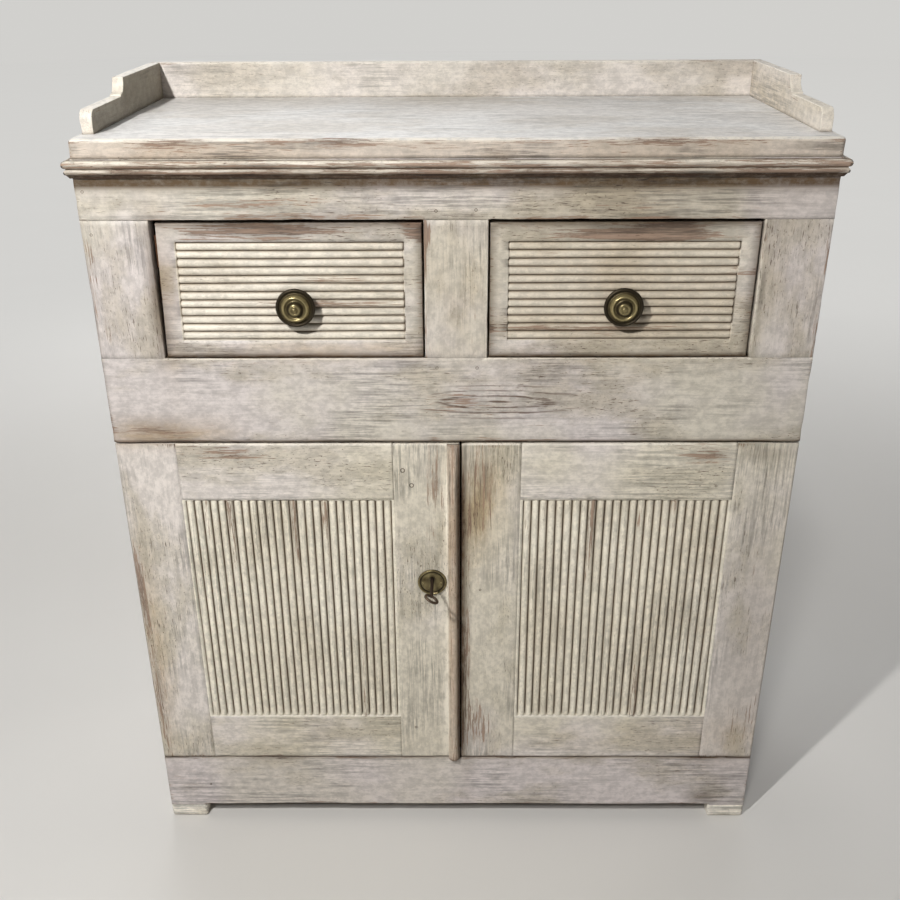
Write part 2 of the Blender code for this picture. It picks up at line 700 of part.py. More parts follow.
def add_reeded_face(bm, place, across, along, margins, count, depth):
    """Carve reeds into a flat face and return the face's four corners.

    place turns (across, along, depth) into a point. The grooves run out to the surface at both ends.
    """
    field = grown(across, -margins[0])
    ends = grown(along, -margins[1])
    rows = [(ends[0], 0.0), (ends[0] + REED_RUNOUT, 1.0), (ends[1] - REED_RUNOUT, 1.0), (ends[1], 0.0)]
    stations = reed_stations(field, count, depth)
    grid = [[bm.verts.new(place(u, v, share * d)) for u, d in stations] for v, share in rows]
    for lower, upper in zip(grid, grid[1:]):
        for i in range(len(stations) - 1):
            bm.faces.new((lower[i], lower[i + 1], upper[i + 1], upper[i]))
    corners = [bm.verts.new(place(u, v, 0.0)) for u, v in rectangle(across, along)]
    fan(bm, corners[0], corners[1], grid[0])
    fan(bm, corners[3], corners[2], grid[-1])
    fan(bm, corners[0], corners[3], [row[0] for row in grid])
    fan(bm, corners[1], corners[2], [row[-1] for row in grid])
    return corners


def stile_groove(edge, into):
    """Corners of the panel groove in a stile's edge; into is +1 or -1 along X."""
    floor = edge + into * GROOVE_DEPTH
    return [(edge, GROOVE_FRONT), (floor, GROOVE_FRONT), (floor, GROOVE_BACK), (edge, GROOVE_BACK)]


def hinge_stile_outline(side):
    """Plan of a hinge stile: rounded outer corners and a groove for the panel."""
    inner = HALF - HINGE_STILE_WIDTH
    tangent = math.degrees(math.acos(PIVOT_INSET / SWING_RADIUS))
    radius = HINGE_EDGE_RADIUS
    outline = [(inner, FRONT)]
    outline += arc((HALF - radius, FRONT + radius), radius, 270, 360, HINGE_ARC_STEPS)
    outline += arc((PIVOT_X, PIVOT_Y), SWING_RADIUS, tangent, 90, HINGE_ARC_STEPS)
    outline += [(inner, DOOR_BACK)]
    outline += reversed(stile_groove(inner, 1))
    return [(side * x, y) for x, y in outline]


def door_mortises(edge, into):
    """Pockets for the tenons of both rails in a stile's edge."""
    bm = bmesh.new()
    depth = tuple(sorted((edge - into * OVERCUT, edge + into * (DOOR_TENON_LENGTH + OVERCUT))))
    thickness = grown((GROOVE_MIDDLE, GROOVE_MIDDLE), DOOR_TENON_THICKNESS / 2 + SEAT_GAP)
    for height in rail_tenons():
        add_box(bm, depth, thickness, grown(height, SEAT_GAP))
    return bm


def rail_tenons():
    """Heights of the tenons on the bottom and the top rail of a door."""
    groove_side = GROOVE_DEPTH + DOOR_TENON_INSET / 2
    return (
        (DOOR_BOTTOM + DOOR_TENON_INSET, PANEL_BOTTOM - groove_side),
        (PANEL_TOP + groove_side, DOOR_TOP - DOOR_TENON_INSET),
    )


def make_door(prefix, side, meeting_name, meeting_edge, meeting_width, reeds, anchor):
    """Frame and panel of one door. Returns the stile at the meeting edge, for the lock."""
    height = (DOOR_BOTTOM, DOOR_TOP)
    hinge_edge = side * (HALF - HINGE_STILE_WIDTH)
    bm = bmesh.new()
    add_prism(bm, hinge_stile_outline(side), "Z", *height)
    hinge_stile = add_piece(f"{prefix}_hinge_stile", bm, FRAME_PAINT, anchor)
    cut(hinge_stile, door_mortises(hinge_edge, side), anchor)
    cut(hinge_stile, pin_bores(side, PIVOT_PIN_RADIUS + SEAT_GAP), anchor)

    panel_edge = meeting_edge + side * meeting_width
    outline = [(meeting_edge, DOOR_BACK), (meeting_edge, FRONT), (panel_edge, FRONT)]
    outline += stile_groove(panel_edge, -side)
    outline += [(panel_edge, DOOR_BACK)]
    bm = bmesh.new()
    add_prism(bm, outline, "Z", *height)
    meeting_stile = add_piece(f"{prefix}_{meeting_name}", bm, FRAME_PAINT, anchor)
    cut(meeting_stile, door_mortises(panel_edge, -side), anchor)

    opening = tuple(sorted((hinge_edge, panel_edge)))
    make_door_rails(prefix, opening, anchor)
    make_door_panel(prefix, opening, reeds, anchor)
    return meeting_stile


def make_door_rails(prefix, opening, anchor):
    """Top and bottom rail, tenoned into the stiles and grooved for the panel."""
    shoulder = grown(opening, -SEAT_GAP)
    tips = grown(opening, DOOR_TENON_LENGTH)
    thickness = grown((GROOVE_MIDDLE, GROOVE_MIDDLE), DOOR_TENON_THICKNESS / 2)
    low_tenon, high_tenon = rail_tenons()
    low_groove = (PANEL_BOTTOM - GROOVE_DEPTH, PANEL_BOTTOM + OVERCUT)
    high_groove = (PANEL_TOP - OVERCUT, PANEL_TOP + GROOVE_DEPTH)
    rails = (
        ("bottom_rail", (DOOR_BOTTOM, PANEL_BOTTOM), low_tenon, low_groove),
        ("top_rail", (PANEL_TOP, DOOR_TOP), high_tenon, high_groove),
    )
    for name, height, tenon_height, groove_height in rails:
        tenon = rectangle(thickness, tenon_height)
        body = rectangle((FRONT, DOOR_BACK), height)
        stops = [(tips[0], tenon), (shoulder[0], tenon), (shoulder[0], body),
                 (shoulder[1], body), (shoulder[1], tenon), (tips[1], tenon)]
        bm = bmesh.new()
        add_loft(bm, [[(x, y, z) for y, z in outline] for x, outline in stops])
        rail = add_piece(f"{prefix}_{name}", bm, FRAME_PAINT, anchor)
        cut(rail, make_box(grown(shoulder, OVERCUT), (GROOVE_FRONT, GROOVE_BACK), groove_height), anchor)


def make_door_panel(prefix, opening, reeds, anchor):
    """Reeded panel flush with its frame, with a tongue all round in the frame's groove."""
    field_x = grown(opening, -SEAT_GAP)
    field_z = grown((PANEL_BOTTOM, PANEL_TOP), -SEAT_GAP)
    bm = bmesh.new()
    corners = add_reeded_face(
        bm, lambda u, v, d: (u, FRONT + d, v), field_x, field_z,
        (PANEL_REED_MARGIN, PANEL_REED_END_MARGIN), reeds, PANEL_REED_DEPTH,
    )
    tongue = GROOVE_DEPTH - TONGUE_CLEARANCE
    tongue_front = GROOVE_FRONT + SEAT_GAP
    tongue_back = GROOVE_BACK - SEAT_GAP
    board = rectangle(field_x, field_z)
    rim = rectangle(grown(opening, tongue), grown((PANEL_BOTTOM, PANEL_TOP), tongue))
    loops = [corners]
    for y, outline in ((tongue_front, board), (tongue_front, rim), (tongue_back, rim)):
        loops.append([bm.verts.new((x, y, z)) for x, z in outline])
    close_loops(bm, loops)
    add_piece(f"{prefix}_panel", bm, REED_PAINT, anchor)


def make_meeting_bead(anchor):
    """Half-round bead planted on the meeting edge of the left door."""
    centre = MEETING_LINE - BEAD_WIDTH / 2
    foot = FRONT - SEAT_GAP
    angles = [math.pi * i / BEAD_ARC_STEPS for i in range(BEAD_ARC_STEPS + 1)]
    outline = [
        (centre + BEAD_WIDTH / 2 * math.cos(t), foot - (BEAD_REACH - SEAT_GAP) * math.sin(t)) for t in angles
    ]
    bm = bmesh.new()
    add_prism(bm, outline, "Z", DOOR_BOTTOM, DOOR_TOP)
    add_piece("meeting_bead", bm, FRAME_PAINT, anchor, smooth_degrees=40)


def keyhole(depth):
    """Round part of the keyhole through a span of depth, for the key's shank."""
    bm = bmesh.new()
    add_turned(bm, rod(KEYHOLE_RADIUS, depth), (KEY_X, 0.0, KEY_AXIS_HEIGHT), (0, 1, 0), KEY_SHANK_SIDES)
    return bm


def keyhole_slot(depth):
    """Slot of the keyhole for the key's bit, from the middle of the round hole down."""
    width = grown((KEY_X, KEY_X), KEYHOLE_SLOT_WIDTH / 2)
    return make_box(width, depth, (KEY_AXIS_HEIGHT - KEYHOLE_SLOT_LENGTH, KEY_AXIS_HEIGHT))


def make_lock(lock_stile, door, bolt, key):
    """Keyhole, escutcheon, lock tray with its bolt, and the key."""
    through = (FRONT - OVERCUT, DOOR_BACK + OVERCUT)
    cut(lock_stile, keyhole(through), door)
    cut(lock_stile, keyhole_slot(through), door)

    foot = FRONT - SEAT_GAP
    middle = (KEY_X, 0.0, KEY_AXIS_HEIGHT - ESCUTCHEON_DROP)
    face = -foot
    profile = [
        (0.0, face), (ESCUTCHEON_RADIUS, face), (ESCUTCHEON_RADIUS, face + ESCUTCHEON_RIM * 0.6),
        (ESCUTCHEON_RADIUS * 0.96, face + ESCUTCHEON_RIM), (ESCUTCHEON_RADIUS * 0.86, face + ESCUTCHEON_RIM),
        (ESCUTCHEON_RADIUS * 0.6, face + ESCUTCHEON_DOME * 0.9), (0.0, face + ESCUTCHEON_DOME),
    ]
    bm = bmesh.new()
    add_turned(bm, profile, middle, (0, -1, 0), ESCUTCHEON_SIDES)
    escutcheon = add_piece("escutcheon", bm, BRASS, door, smooth_degrees=35)
    plate_depth = (foot - ESCUTCHEON_DOME - OVERCUT, foot + OVERCUT)
    cut(escutcheon, keyhole(plate_depth), door)
    cut(escutcheon, keyhole_slot(plate_depth), door)

    make_lock_tray(door)
    make_bolt(bolt)
    make_key(key)


def lock_spans():
    """Outer spans of the lock tray along X, Y and Z."""
    right = MEETING_LINE - LOCK_EDGE_SETBACK
    low = KEY_AXIS_HEIGHT - LOCK_BELOW_KEY
    face = DOOR_BACK + SEAT_GAP
    return (right - LOCK_WIDTH, right), (face, face + LOCK_DEPTH), (low, low + LOCK_HEIGHT)


def bolt_spans():
    """Spans of the bolt's thickness and height."""
    near = DOOR_BACK + BOLT_FACE_GAP
    top = KEY_AXIS_HEIGHT - BOLT_BELOW_KEY
    return (near, near + BOLT_THICKNESS), (top - BOLT_HEIGHT, top)


def make_lock_tray(door):
    """Iron tray screwed to the back of the lock stile, open towards the wood, slotted for the bolt."""
    x, y, z = lock_spans()
    tray = add_piece("lock_case", make_box(x, y, z), IRON, door)
    inside = (grown(x, -LOCK_WALL), (y[0] - OVERCUT, y[1] - LOCK_WALL), grown(z, -LOCK_WALL))
    cut(tray, make_box(*inside), door)
    bolt_y, bolt_z = bolt_spans()
    slot_x = (x[1] - LOCK_WALL - OVERCUT, x[1] + OVERCUT)
    cut(tray, make_box(slot_x, grown(bolt_y, SEAT_GAP), grown(bolt_z, SEAT_GAP)), door)
    bore = bmesh.new()
    profile = rod(KEY_SHANK_RADIUS + SEAT_GAP, grown((y[1] - LOCK_WALL, y[1]), OVERCUT))
    add_turned(bore, profile, (KEY_X, 0.0, KEY_AXIS_HEIGHT), (0, 1, 0), KEY_SHANK_SIDES)
    cut(tray, bore, door)


def make_bolt(anchor):
    """Bolt below the key, with a hollow in its upper edge where the key's bit sweeps."""
    bolt_y, bolt_z = bolt_spans()
    x, _, _ = lock_spans()
    tail = x[0] + LOCK_WALL + BOLT_TAIL_CLEARANCE
    end = MEETING_LINE - BOLT_END_SETBACK
    sweep = KEY_BIT_LENGTH + TALON_CLEARANCE
    half_chord = math.sqrt(sweep ** 2 - BOLT_BELOW_KEY ** 2)
    hollow = KEY_AXIS_HEIGHT - sweep
    outline = [
        (tail, bolt_z[0]), (end, bolt_z[0]), (end, bolt_z[1]),
        (KEY_X + half_chord + BOLT_TRAVEL_IN, bolt_z[1]), (KEY_X + half_chord + BOLT_TRAVEL_IN, hollow),
        (KEY_X - half_chord - BOLT_TRAVEL_OUT, hollow), (KEY_X - half_chord - BOLT_TRAVEL_OUT, bolt_z[1]),
        (tail, bolt_z[1]),
    ]
    bm = bmesh.new()
    add_prism(bm, outline, "Y", *bolt_y)
    add_piece("lock_bolt", bm, IRON, anchor)


def make_key(anchor):
    """Iron key, part turned in the lock: shank, bit and an oval wire bow."""
    turn = math.radians(KEY_TURN_AT_REST)
    across = Vector((math.sin(turn), 0.0, -math.cos(turn)))
    thin = Vector((math.cos(turn), 0.0, math.sin(turn)))
    out = Vector((0.0, -1.0, 0.0))
    axis_point = Vector((KEY_X, 0.0, KEY_AXIS_HEIGHT))
    tip = FRONT - KEY_REACH
    bow_middle = axis_point - out * (tip + KEY_BOW_LENGTH / 2)
    _, lock_y, _ = lock_spans()

    rings = []
    for i in range(KEY_BOW_STEPS):
        angle = math.tau * i / KEY_BOW_STEPS
        ray = out * (math.cos(angle) * (KEY_BOW_LENGTH / 2 - KEY_BOW_WIRE))
        ray += across * (math.sin(angle) * (KEY_BOW_WIDTH / 2 - KEY_BOW_WIRE))
        centre = bow_middle + ray
        outward = ray.normalized()
        sides = [math.tau * k / KEY_WIRE_SIDES for k in range(KEY_WIRE_SIDES)]
        rings.append([centre + KEY_BOW_WIRE * (outward * math.cos(s) + thin * math.sin(s)) for s in sides])
    bm = bmesh.new()
    loops = [[bm.verts.new(point) for point in ring] for ring in rings]
    for lower, upper in zip(loops, loops[1:] + loops[:1]):
        for i in range(KEY_WIRE_SIDES):
            j = (i + 1) % KEY_WIRE_SIDES
            bm.faces.new((lower[i], lower[j], upper[j], upper[i]))
    key = add_piece("key", bm, IRON, anchor, smooth_degrees=50)

    shank_start = tip + KEY_BOW_LENGTH - KEY_BOW_WIRE
    shank = bmesh.new()
    profile = rod(KEY_SHANK_RADIUS, (shank_start, lock_y[1]))
    add_turned(shank, profile, axis_point, (0, 1, 0), KEY_SHANK_SIDES)
    join(key, shank, anchor)

    bolt_y, _ = bolt_spans()
    bit_middle = (bolt_y[0] + bolt_y[1]) / 2
    bit = bmesh.new()
    corners = []
    half = KEY_BIT_THICKNESS / 2
    for y in grown((bit_middle, bit_middle), KEY_BIT_WIDTH / 2):
        root = axis_point + Vector((0.0, y, 0.0))
        outline = rectangle((0.0, KEY_BIT_LENGTH), (-half, half))
        corners.append([root + across * a + thin * b for a, b in outline])
    add_loft(bit, corners)
    join(key, bit, anchor)


def make_turn_button(anchor):
    """Wooden turn button behind the right door, lying level when the door is free."""
    near = DOOR_BACK + BUTTON_BOSS_HEIGHT
    half = BUTTON_WIDTH / 2
    left = (BUTTON_X - BUTTON_SHORT_ARM + half, BUTTON_Z)
    right = (BUTTON_X + BUTTON_LONG_ARM - half, BUTTON_Z)
    outline = arc(left, half, 90, 270, BUTTON_END_STEPS) + arc(right, half, -90, 90, BUTTON_END_STEPS)
    bm = bmesh.new()
    add_prism(bm, outline, "Y", near, near + BUTTON_THICKNESS)
    button = add_piece("right_door_turn_button", bm, BARE_PINE, anchor)
    boss = bmesh.new()
    profile = rod(BUTTON_BOSS_RADIUS, (DOOR_BACK + SEAT_GAP, near + OVERCUT))
    add_turned(boss, profile, (BUTTON_X, 0.0, BUTTON_Z), (0, 1, 0), PIVOT_SIDES)
    join(button, boss, anchor)


def drawer_span(side):
    """Span along X of a drawer front on the left (-1) or right (+1)."""
    opening = (MIDDLE_STILE_WIDTH / 2, HALF - OUTER_STILE_WIDTH)
    return mirrored(grown(opening, -DRAWER_SIDE_GAP), side)


def drawer_levels():
    """Lower and upper edge of a drawer front."""
    return APRON_TOP + DRAWER_BOTTOM_GAP, RAIL_BOTTOM - DRAWER_TOP_GAP


def side_levels():
    """Lower and upper edge of a drawer's side boards."""
    return APRON_TOP + SEAT_GAP, drawer_levels()[1] - DRAWER_SIDE_DROP


def tail_shapes(rear, growth):
    """Dovetails at the front end of a drawer side, as outlines across X that reach back to a depth."""
    root = DRAWER_FRONT_BACK
    low, high = side_levels()
    pitch = (high - low) / TAIL_COUNT
    splay = (TAIL_TIP_SHARE - TAIL_ROOT_SHARE) * pitch / 2 / TAIL_LENGTH
    shapes = []
    for i in range(TAIL_COUNT):
        middle = low + (i + 0.5) * pitch
        tip = root - TAIL_LENGTH - growth
        tip_half = TAIL_TIP_SHARE * pitch / 2 + growth
        rear_half = tip_half - splay * (rear - tip)
        shapes.append([(rear, middle - rear_half), (tip, middle - tip_half), (tip, middle + tip_half),
                       (rear, middle + rear_half)])
    return shapes


def make_drawer(prefix, side, knob_shift, anchor):
    """One drawer: reeded front, dovetailed sides, back, bottom and knob."""
    span = drawer_span(side)
    low, high = drawer_levels()
    face = DRAWER_FACE
    front_back = DRAWER_FRONT_BACK
    rear = BACK_INNER - DRAWER_REAR_CLEARANCE
    side_low, side_high = side_levels()
    bottom_z = (side_low + DRAWER_BOTTOM_RISE, side_low + DRAWER_BOTTOM_RISE + DRAWER_BOTTOM_THICKNESS)
    groove_z = grown(bottom_z, SEAT_GAP)
    groove_y = (front_back - DRAWER_GROOVE_DEPTH, front_back)
    boards = {
        "side_left": (span[0] + SEAT_GAP, span[0] + SEAT_GAP + DRAWER_BOARD),
        "side_right": (span[1] - SEAT_GAP - DRAWER_BOARD, span[1] - SEAT_GAP),
    }
    inside = (boards["side_left"][1], boards["side_right"][0])
    knob_x = (span[0] + span[1]) / 2 + knob_shift
    knob_z = (low + high) / 2 - KNOB_DROP

    bm = bmesh.new()
    corners = add_reeded_face(
        bm, lambda u, v, d: (v, face + d, u), (low, high), span,
        (DRAWER_REED_MARGIN, DRAWER_REED_MARGIN), DRAWER_REEDS, DRAWER_REED_DEPTH,
    )
    rear_loop = [bm.verts.new((x, front_back, z)) for z, x in rectangle((low, high), span)]
    close_loops(bm, [corners, rear_loop])
    front = add_piece(f"{prefix}_front", bm, REED_PAINT, anchor)
    sockets = bmesh.new()
    left_socket = (span[0] - OVERCUT, boards["side_left"][1] + SEAT_GAP)
    right_socket = (boards["side_right"][0] - SEAT_GAP, span[1] + OVERCUT)
    for reach in (left_socket, right_socket):
        for outline in tail_shapes(front_back + OVERCUT, SEAT_GAP):
            add_prism(sockets, outline, "X", *reach)
    cut(front, sockets, anchor)
    groove_x = grown(inside, DRAWER_GROOVE_DEPTH)
    cut(front, make_box(groove_x, (groove_y[0], front_back + OVERCUT), groove_z), anchor)
    bore = bmesh.new()
    profile = rod(KNOB_POST_RADIUS + SEAT_GAP, grown((face, front_back), OVERCUT))
    add_turned(bore, profile, (knob_x, 0.0, knob_z), (0, 1, 0), KNOB_SIDES)
    cut(front, bore, anchor)

    for name, board in boards.items():
        shoulder = front_back + SEAT_GAP
        outline = [(rear, side_low), (shoulder, side_low)]
        for shape in tail_shapes(shoulder, 0.0):
            outline += shape
        outline += [(shoulder, side_high), (rear, side_high)]
        bm = bmesh.new()
        add_prism(bm, outline, "X", *board)
        plank = add_piece(f"{prefix}_{name}", bm, BARE_PINE, anchor)
        groove = (board[1] - DRAWER_GROOVE_DEPTH, board[1] + OVERCUT)
        if name == "side_right":
            groove = (board[0] - OVERCUT, board[0] + DRAWER_GROOVE_DEPTH)
        cut(plank, make_box(groove, (groove_y[0], rear + OVERCUT), groove_z), anchor)

    bottom_x = grown(inside, DRAWER_GROOVE_DEPTH - SEAT_GAP)
    bottom = make_box(bottom_x, (groove_y[0] + SEAT_GAP, rear), bottom_z)
    add_piece(f"{prefix}_bottom", bottom, BARE_PINE, anchor)
    back_z = (bottom_z[1] + SEAT_GAP, side_high - DRAWER_BACK_DROP)
    back = make_box(grown(inside, -SEAT_GAP), (rear - DRAWER_BOARD, rear), back_z)
    add_piece(f"{prefix}_back", back, BARE_PINE, anchor)
    make_knob(f"{prefix}_knob", (knob_x, knob_z), (face, front_back), anchor)


def knob_profile(seat):
    """Turned profile of a knob, from its post inside the drawer to the button in the middle of its face."""
    edge = KNOB_RADIUS
    face = seat + KNOB_REACH
    return [
        (KNOB_POST_RADIUS, seat), (KNOB_BASE_RADIUS, seat), (KNOB_BASE_RADIUS, seat + 0.0018),
        (KNOB_NECK_RADIUS, seat + 0.0042), (KNOB_NECK_RADIUS, seat + 0.0085),
        (edge * 0.62, face - 0.0115), (edge * 0.95, face - 0.0085), (edge, face - 0.0066),
        (edge * 0.97, face - 0.0048), (edge * 0.86, face - 0.0042), (edge * 0.76, face - 0.0060),
        (edge * 0.62, face - 0.0062), (edge * 0.54, face - 0.0038), (edge * 0.44, face - 0.0032),
        (edge * 0.36, face - 0.0050), (edge * 0.24, face - 0.0046), (edge * 0.17, face - 0.0012),
        (0.0, face),
    ]


def make_knob(name, centre, depth, anchor):
    """Brass knob on a post through the drawer front, its end riveted over inside."""
    x, z = centre
    face, back = depth
    rivet = -(back + SEAT_GAP)
    head = rivet - KNOB_RIVET_HEIGHT
    profile = [(0.0, head), (KNOB_RIVET_RADIUS * 0.7, head)]
    profile += [(KNOB_RIVET_RADIUS, rivet), (KNOB_POST_RADIUS, rivet)]
    profile += knob_profile(SEAT_GAP - face)
    bm = bmesh.new()
    add_turned(bm, profile, (x, 0.0, z), (0, -1, 0), KNOB_SIDES)
    add_piece(name, bm, BRASS, anchor, smooth_degrees=40)


def make_runners(case):
    """Drawer runners with guides beside the drawers, and the kicker over the middle."""
    depth = (FRAME_BACK + SEAT_GAP, BACK_INNER)
    low = APRON_TOP - RUNNER_THICKNESS
    guide_top = APRON_TOP + GUIDE_HEIGHT
    inner_edge, outer_edge = drawer_span(1)
    ledge = SEAT_GAP + DRAWER_BOARD + RUNNER_LEDGE
    wall = INNER - SEAT_GAP
    guide = outer_edge + GUIDE_CLEARANCE
    outline = [(wall, low), (outer_edge - ledge, low), (outer_edge - ledge, APRON_TOP), (guide, APRON_TOP),
               (guide, guide_top), (wall, guide_top)]
    for name, side in (("drawer_runner_left", -1), ("drawer_runner_right", 1)):
        bm = bmesh.new()
        add_prism(bm, [(side * x, z) for x, z in outline], "Y", *depth)
        add_piece(name, bm, BARE_PINE, case)

    half_ledge = inner_edge + ledge
    half_guide = inner_edge - GUIDE_CLEARANCE
    right = [(half_ledge, low), (half_ledge, APRON_TOP), (half_guide, APRON_TOP), (half_guide, guide_top)]
    outline = right + [(-x, z) for x, z in reversed(right)]
    bm = bmesh.new()
    add_prism(bm, outline, "Y", *depth)
    add_piece("drawer_runner_middle", bm, BARE_PINE, case)

    kicker_low = side_levels()[1] + KICKER_CLEARANCE
    kicker = make_box((-half_ledge, half_ledge), depth, (kicker_low, kicker_low + KICKER_THICKNESS))
    add_piece("drawer_kicker", kicker, BARE_PINE, case)


def main():
    """Build the cabinet."""
    clear_scene()
    case = make_anchor("case_origin", (0.0, 0.0, 0.0))
    left_door = make_anchor("left_door_pivot", (-PIVOT_X, PIVOT_Y, DOOR_BOTTOM), case)
    right_door = make_anchor("right_door_pivot", (PIVOT_X, PIVOT_Y, DOOR_BOTTOM), case)
    key = make_anchor("key_axis", (KEY_X, FRONT, KEY_AXIS_HEIGHT), left_door)
    bolt = make_anchor("bolt_slide", (KEY_X, DOOR_BACK, KEY_AXIS_HEIGHT), left_door)
    button = make_anchor("turn_button_axis", (BUTTON_X, DOOR_BACK, BUTTON_Z), right_door)
    doors = {-1: left_door, 1: right_door}

    make_sides(case)
    make_back(case)
    make_bottom_and_shelf(case)
    make_front_frame(case, doors)
    make_feet(case)
    make_top(case)
    make_gallery(case)
    make_moulding(case)
    make_runners(case)
    make_pivots(case, doors)

    lock_stile = make_door("left_door", -1, "lock_stile", MEETING_LINE, LOCK_STILE_WIDTH,
                           LEFT_PANEL_REEDS, left_door)
    make_meeting_bead(left_door)
    make_lock(lock_stile, left_door, bolt, key)
    make_door("right_door", 1, "meeting_stile", MEETING_LINE + DOOR_MEETING_GAP, MEETING_STILE_WIDTH,
              RIGHT_PANEL_REEDS, right_door)
    make_turn_button(button)

    for prefix, side, shift in (("left_drawer", -1, KNOB_LEFT_SHIFT), ("right_drawer", 1, KNOB_RIGHT_SHIFT)):
        slide = make_anchor(f"{prefix}_slide", (sum(drawer_span(side)) / 2, FRONT, APRON_TOP), case)
        make_drawer(prefix, side, shift, slide)


if __name__ == "__main__":
    main()
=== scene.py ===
import json
import logging
import math
from dataclasses import dataclass, replace
from enum import Enum
from typing import Callable, Optional, Union

import bmesh
import bpy
import numpy as np
from mathutils import Matrix, Vector, noise

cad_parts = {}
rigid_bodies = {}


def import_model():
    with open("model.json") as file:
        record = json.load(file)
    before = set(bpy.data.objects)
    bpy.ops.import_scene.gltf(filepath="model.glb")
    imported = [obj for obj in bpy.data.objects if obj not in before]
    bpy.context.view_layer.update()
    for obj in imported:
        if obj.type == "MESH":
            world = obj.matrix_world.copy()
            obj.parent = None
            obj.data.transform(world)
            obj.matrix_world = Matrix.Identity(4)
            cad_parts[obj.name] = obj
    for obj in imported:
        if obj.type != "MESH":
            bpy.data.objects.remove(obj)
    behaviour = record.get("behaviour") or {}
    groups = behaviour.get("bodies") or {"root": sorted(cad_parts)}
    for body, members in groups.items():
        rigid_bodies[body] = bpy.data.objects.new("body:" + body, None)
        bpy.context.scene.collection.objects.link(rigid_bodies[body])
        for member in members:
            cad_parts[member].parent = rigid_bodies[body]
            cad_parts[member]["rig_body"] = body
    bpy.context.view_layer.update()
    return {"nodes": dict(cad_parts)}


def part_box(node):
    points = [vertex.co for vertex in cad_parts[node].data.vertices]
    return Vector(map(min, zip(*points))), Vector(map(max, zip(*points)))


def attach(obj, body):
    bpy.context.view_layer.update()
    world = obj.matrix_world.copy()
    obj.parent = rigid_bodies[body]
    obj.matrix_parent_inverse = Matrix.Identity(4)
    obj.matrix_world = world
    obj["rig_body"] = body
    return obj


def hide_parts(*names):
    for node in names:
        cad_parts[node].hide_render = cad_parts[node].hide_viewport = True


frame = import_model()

LOG = logging.getLogger("buffet")
Colour = tuple[float, float, float, float]
Point = tuple[float, float, float]
Span = tuple[float, float]
Row = tuple[float, float, float, float, float]
Box = tuple[Vector, Vector]
Placer = Callable[[float, float, float], Point]
Socket = bpy.types.NodeSocket
Piece = bpy.types.Object
Mesh = bmesh.types.BMesh
Array = np.ndarray

# Lengths are metres: X runs to the right, Y to the back and Z up from the floor.
FRONT = -0.1495  # face of the front frame
MARK_DEPTH = 0.006  # how deep a mark on the front goes
FACING = 0.8  # cosine from which a face counts as turned to a side
TIGHT = 0.0008  # gap across which two pieces still touch
PROBE_INSET = 0.002  # how far inside an edge its neighbours are looked for
PROBE_OUT = 0.0006  # how far outside a face its neighbours are looked for
JOINT_SLACK = 1e-4  # how far past its box a neighbour still counts
ON_FACE = 2e-5  # how near to a face a point counts as lying in it
WELD = 1e-6  # distance at which two points are one
WARM = (1.0, 0.988, 0.97)  # colour of the lamps in front

# Pegs: X, Z and radius of each.
CASE_PEGS = ((-0.4115, 0.9159, 0.0016), (-0.4089, 0.8681, 0.0016), (-0.0221, 0.8938, 0.0018),
             (0.0222, 0.8948, 0.0018), (-0.0228, 0.7079, 0.0018), (0.0246, 0.7078, 0.0018),
             (-0.3578, 0.0611, 0.0016))
LEFT_DOOR_PEGS = ((-0.0669, 0.5719, 0.0030), (-0.0562, 0.5509, 0.0030), (-0.0576, 0.1668, 0.0018),
                  (-0.0462, 0.4329, 0.0014))
RIGHT_DOOR_PEGS = ((0.3237, 0.5497, 0.0016), (0.0307, 0.3959, 0.0016))


class Grain(Enum):
    """Direction in which a board's grain runs, as the index of its axis."""

    WIDE = 0
    DEEP = 1
    TALL = 2


class Arris(Enum):
    """Which edges of a board are worn."""

    OUTER = "edges of the board's own box"
    ALL = "every sharp edge"


class Trace(Enum):
    """What age has done to a spot of paint, with painted shade among the grime and painted highlight in the
    pale trace.
    """

    BARE = "bare"
    # Grime is dirt, and also painted shade in grooves, gaps and hollows and under the moulding.
    GRIME = "grime"
    # Pale is a painted highlight: lighter paint on edges that face the light.
    PALE = "pale"
    TAN = "tan"


class Hand(Enum):
    """Side of the cabinet, as seen from its front."""

    LEFT = "left"
    RIGHT = "right"


def tint(red: float, green: float, blue: float) -> Colour:
    """Linear colour of a finish that is named by its screen values.

    Args:
        red: Red from 0 to 255.
        green: Green from 0 to 255.
        blue: Blue from 0 to 255.

    Returns:
        The colour as a shader takes it.
    """
    shares = (red / 255, green / 255, blue / 255)
    linear = [s / 12.92 if s <= 0.04045 else ((s + 0.055) / 1.055) ** 2.4 for s in shares]
    return linear[0], linear[1], linear[2], 1.0


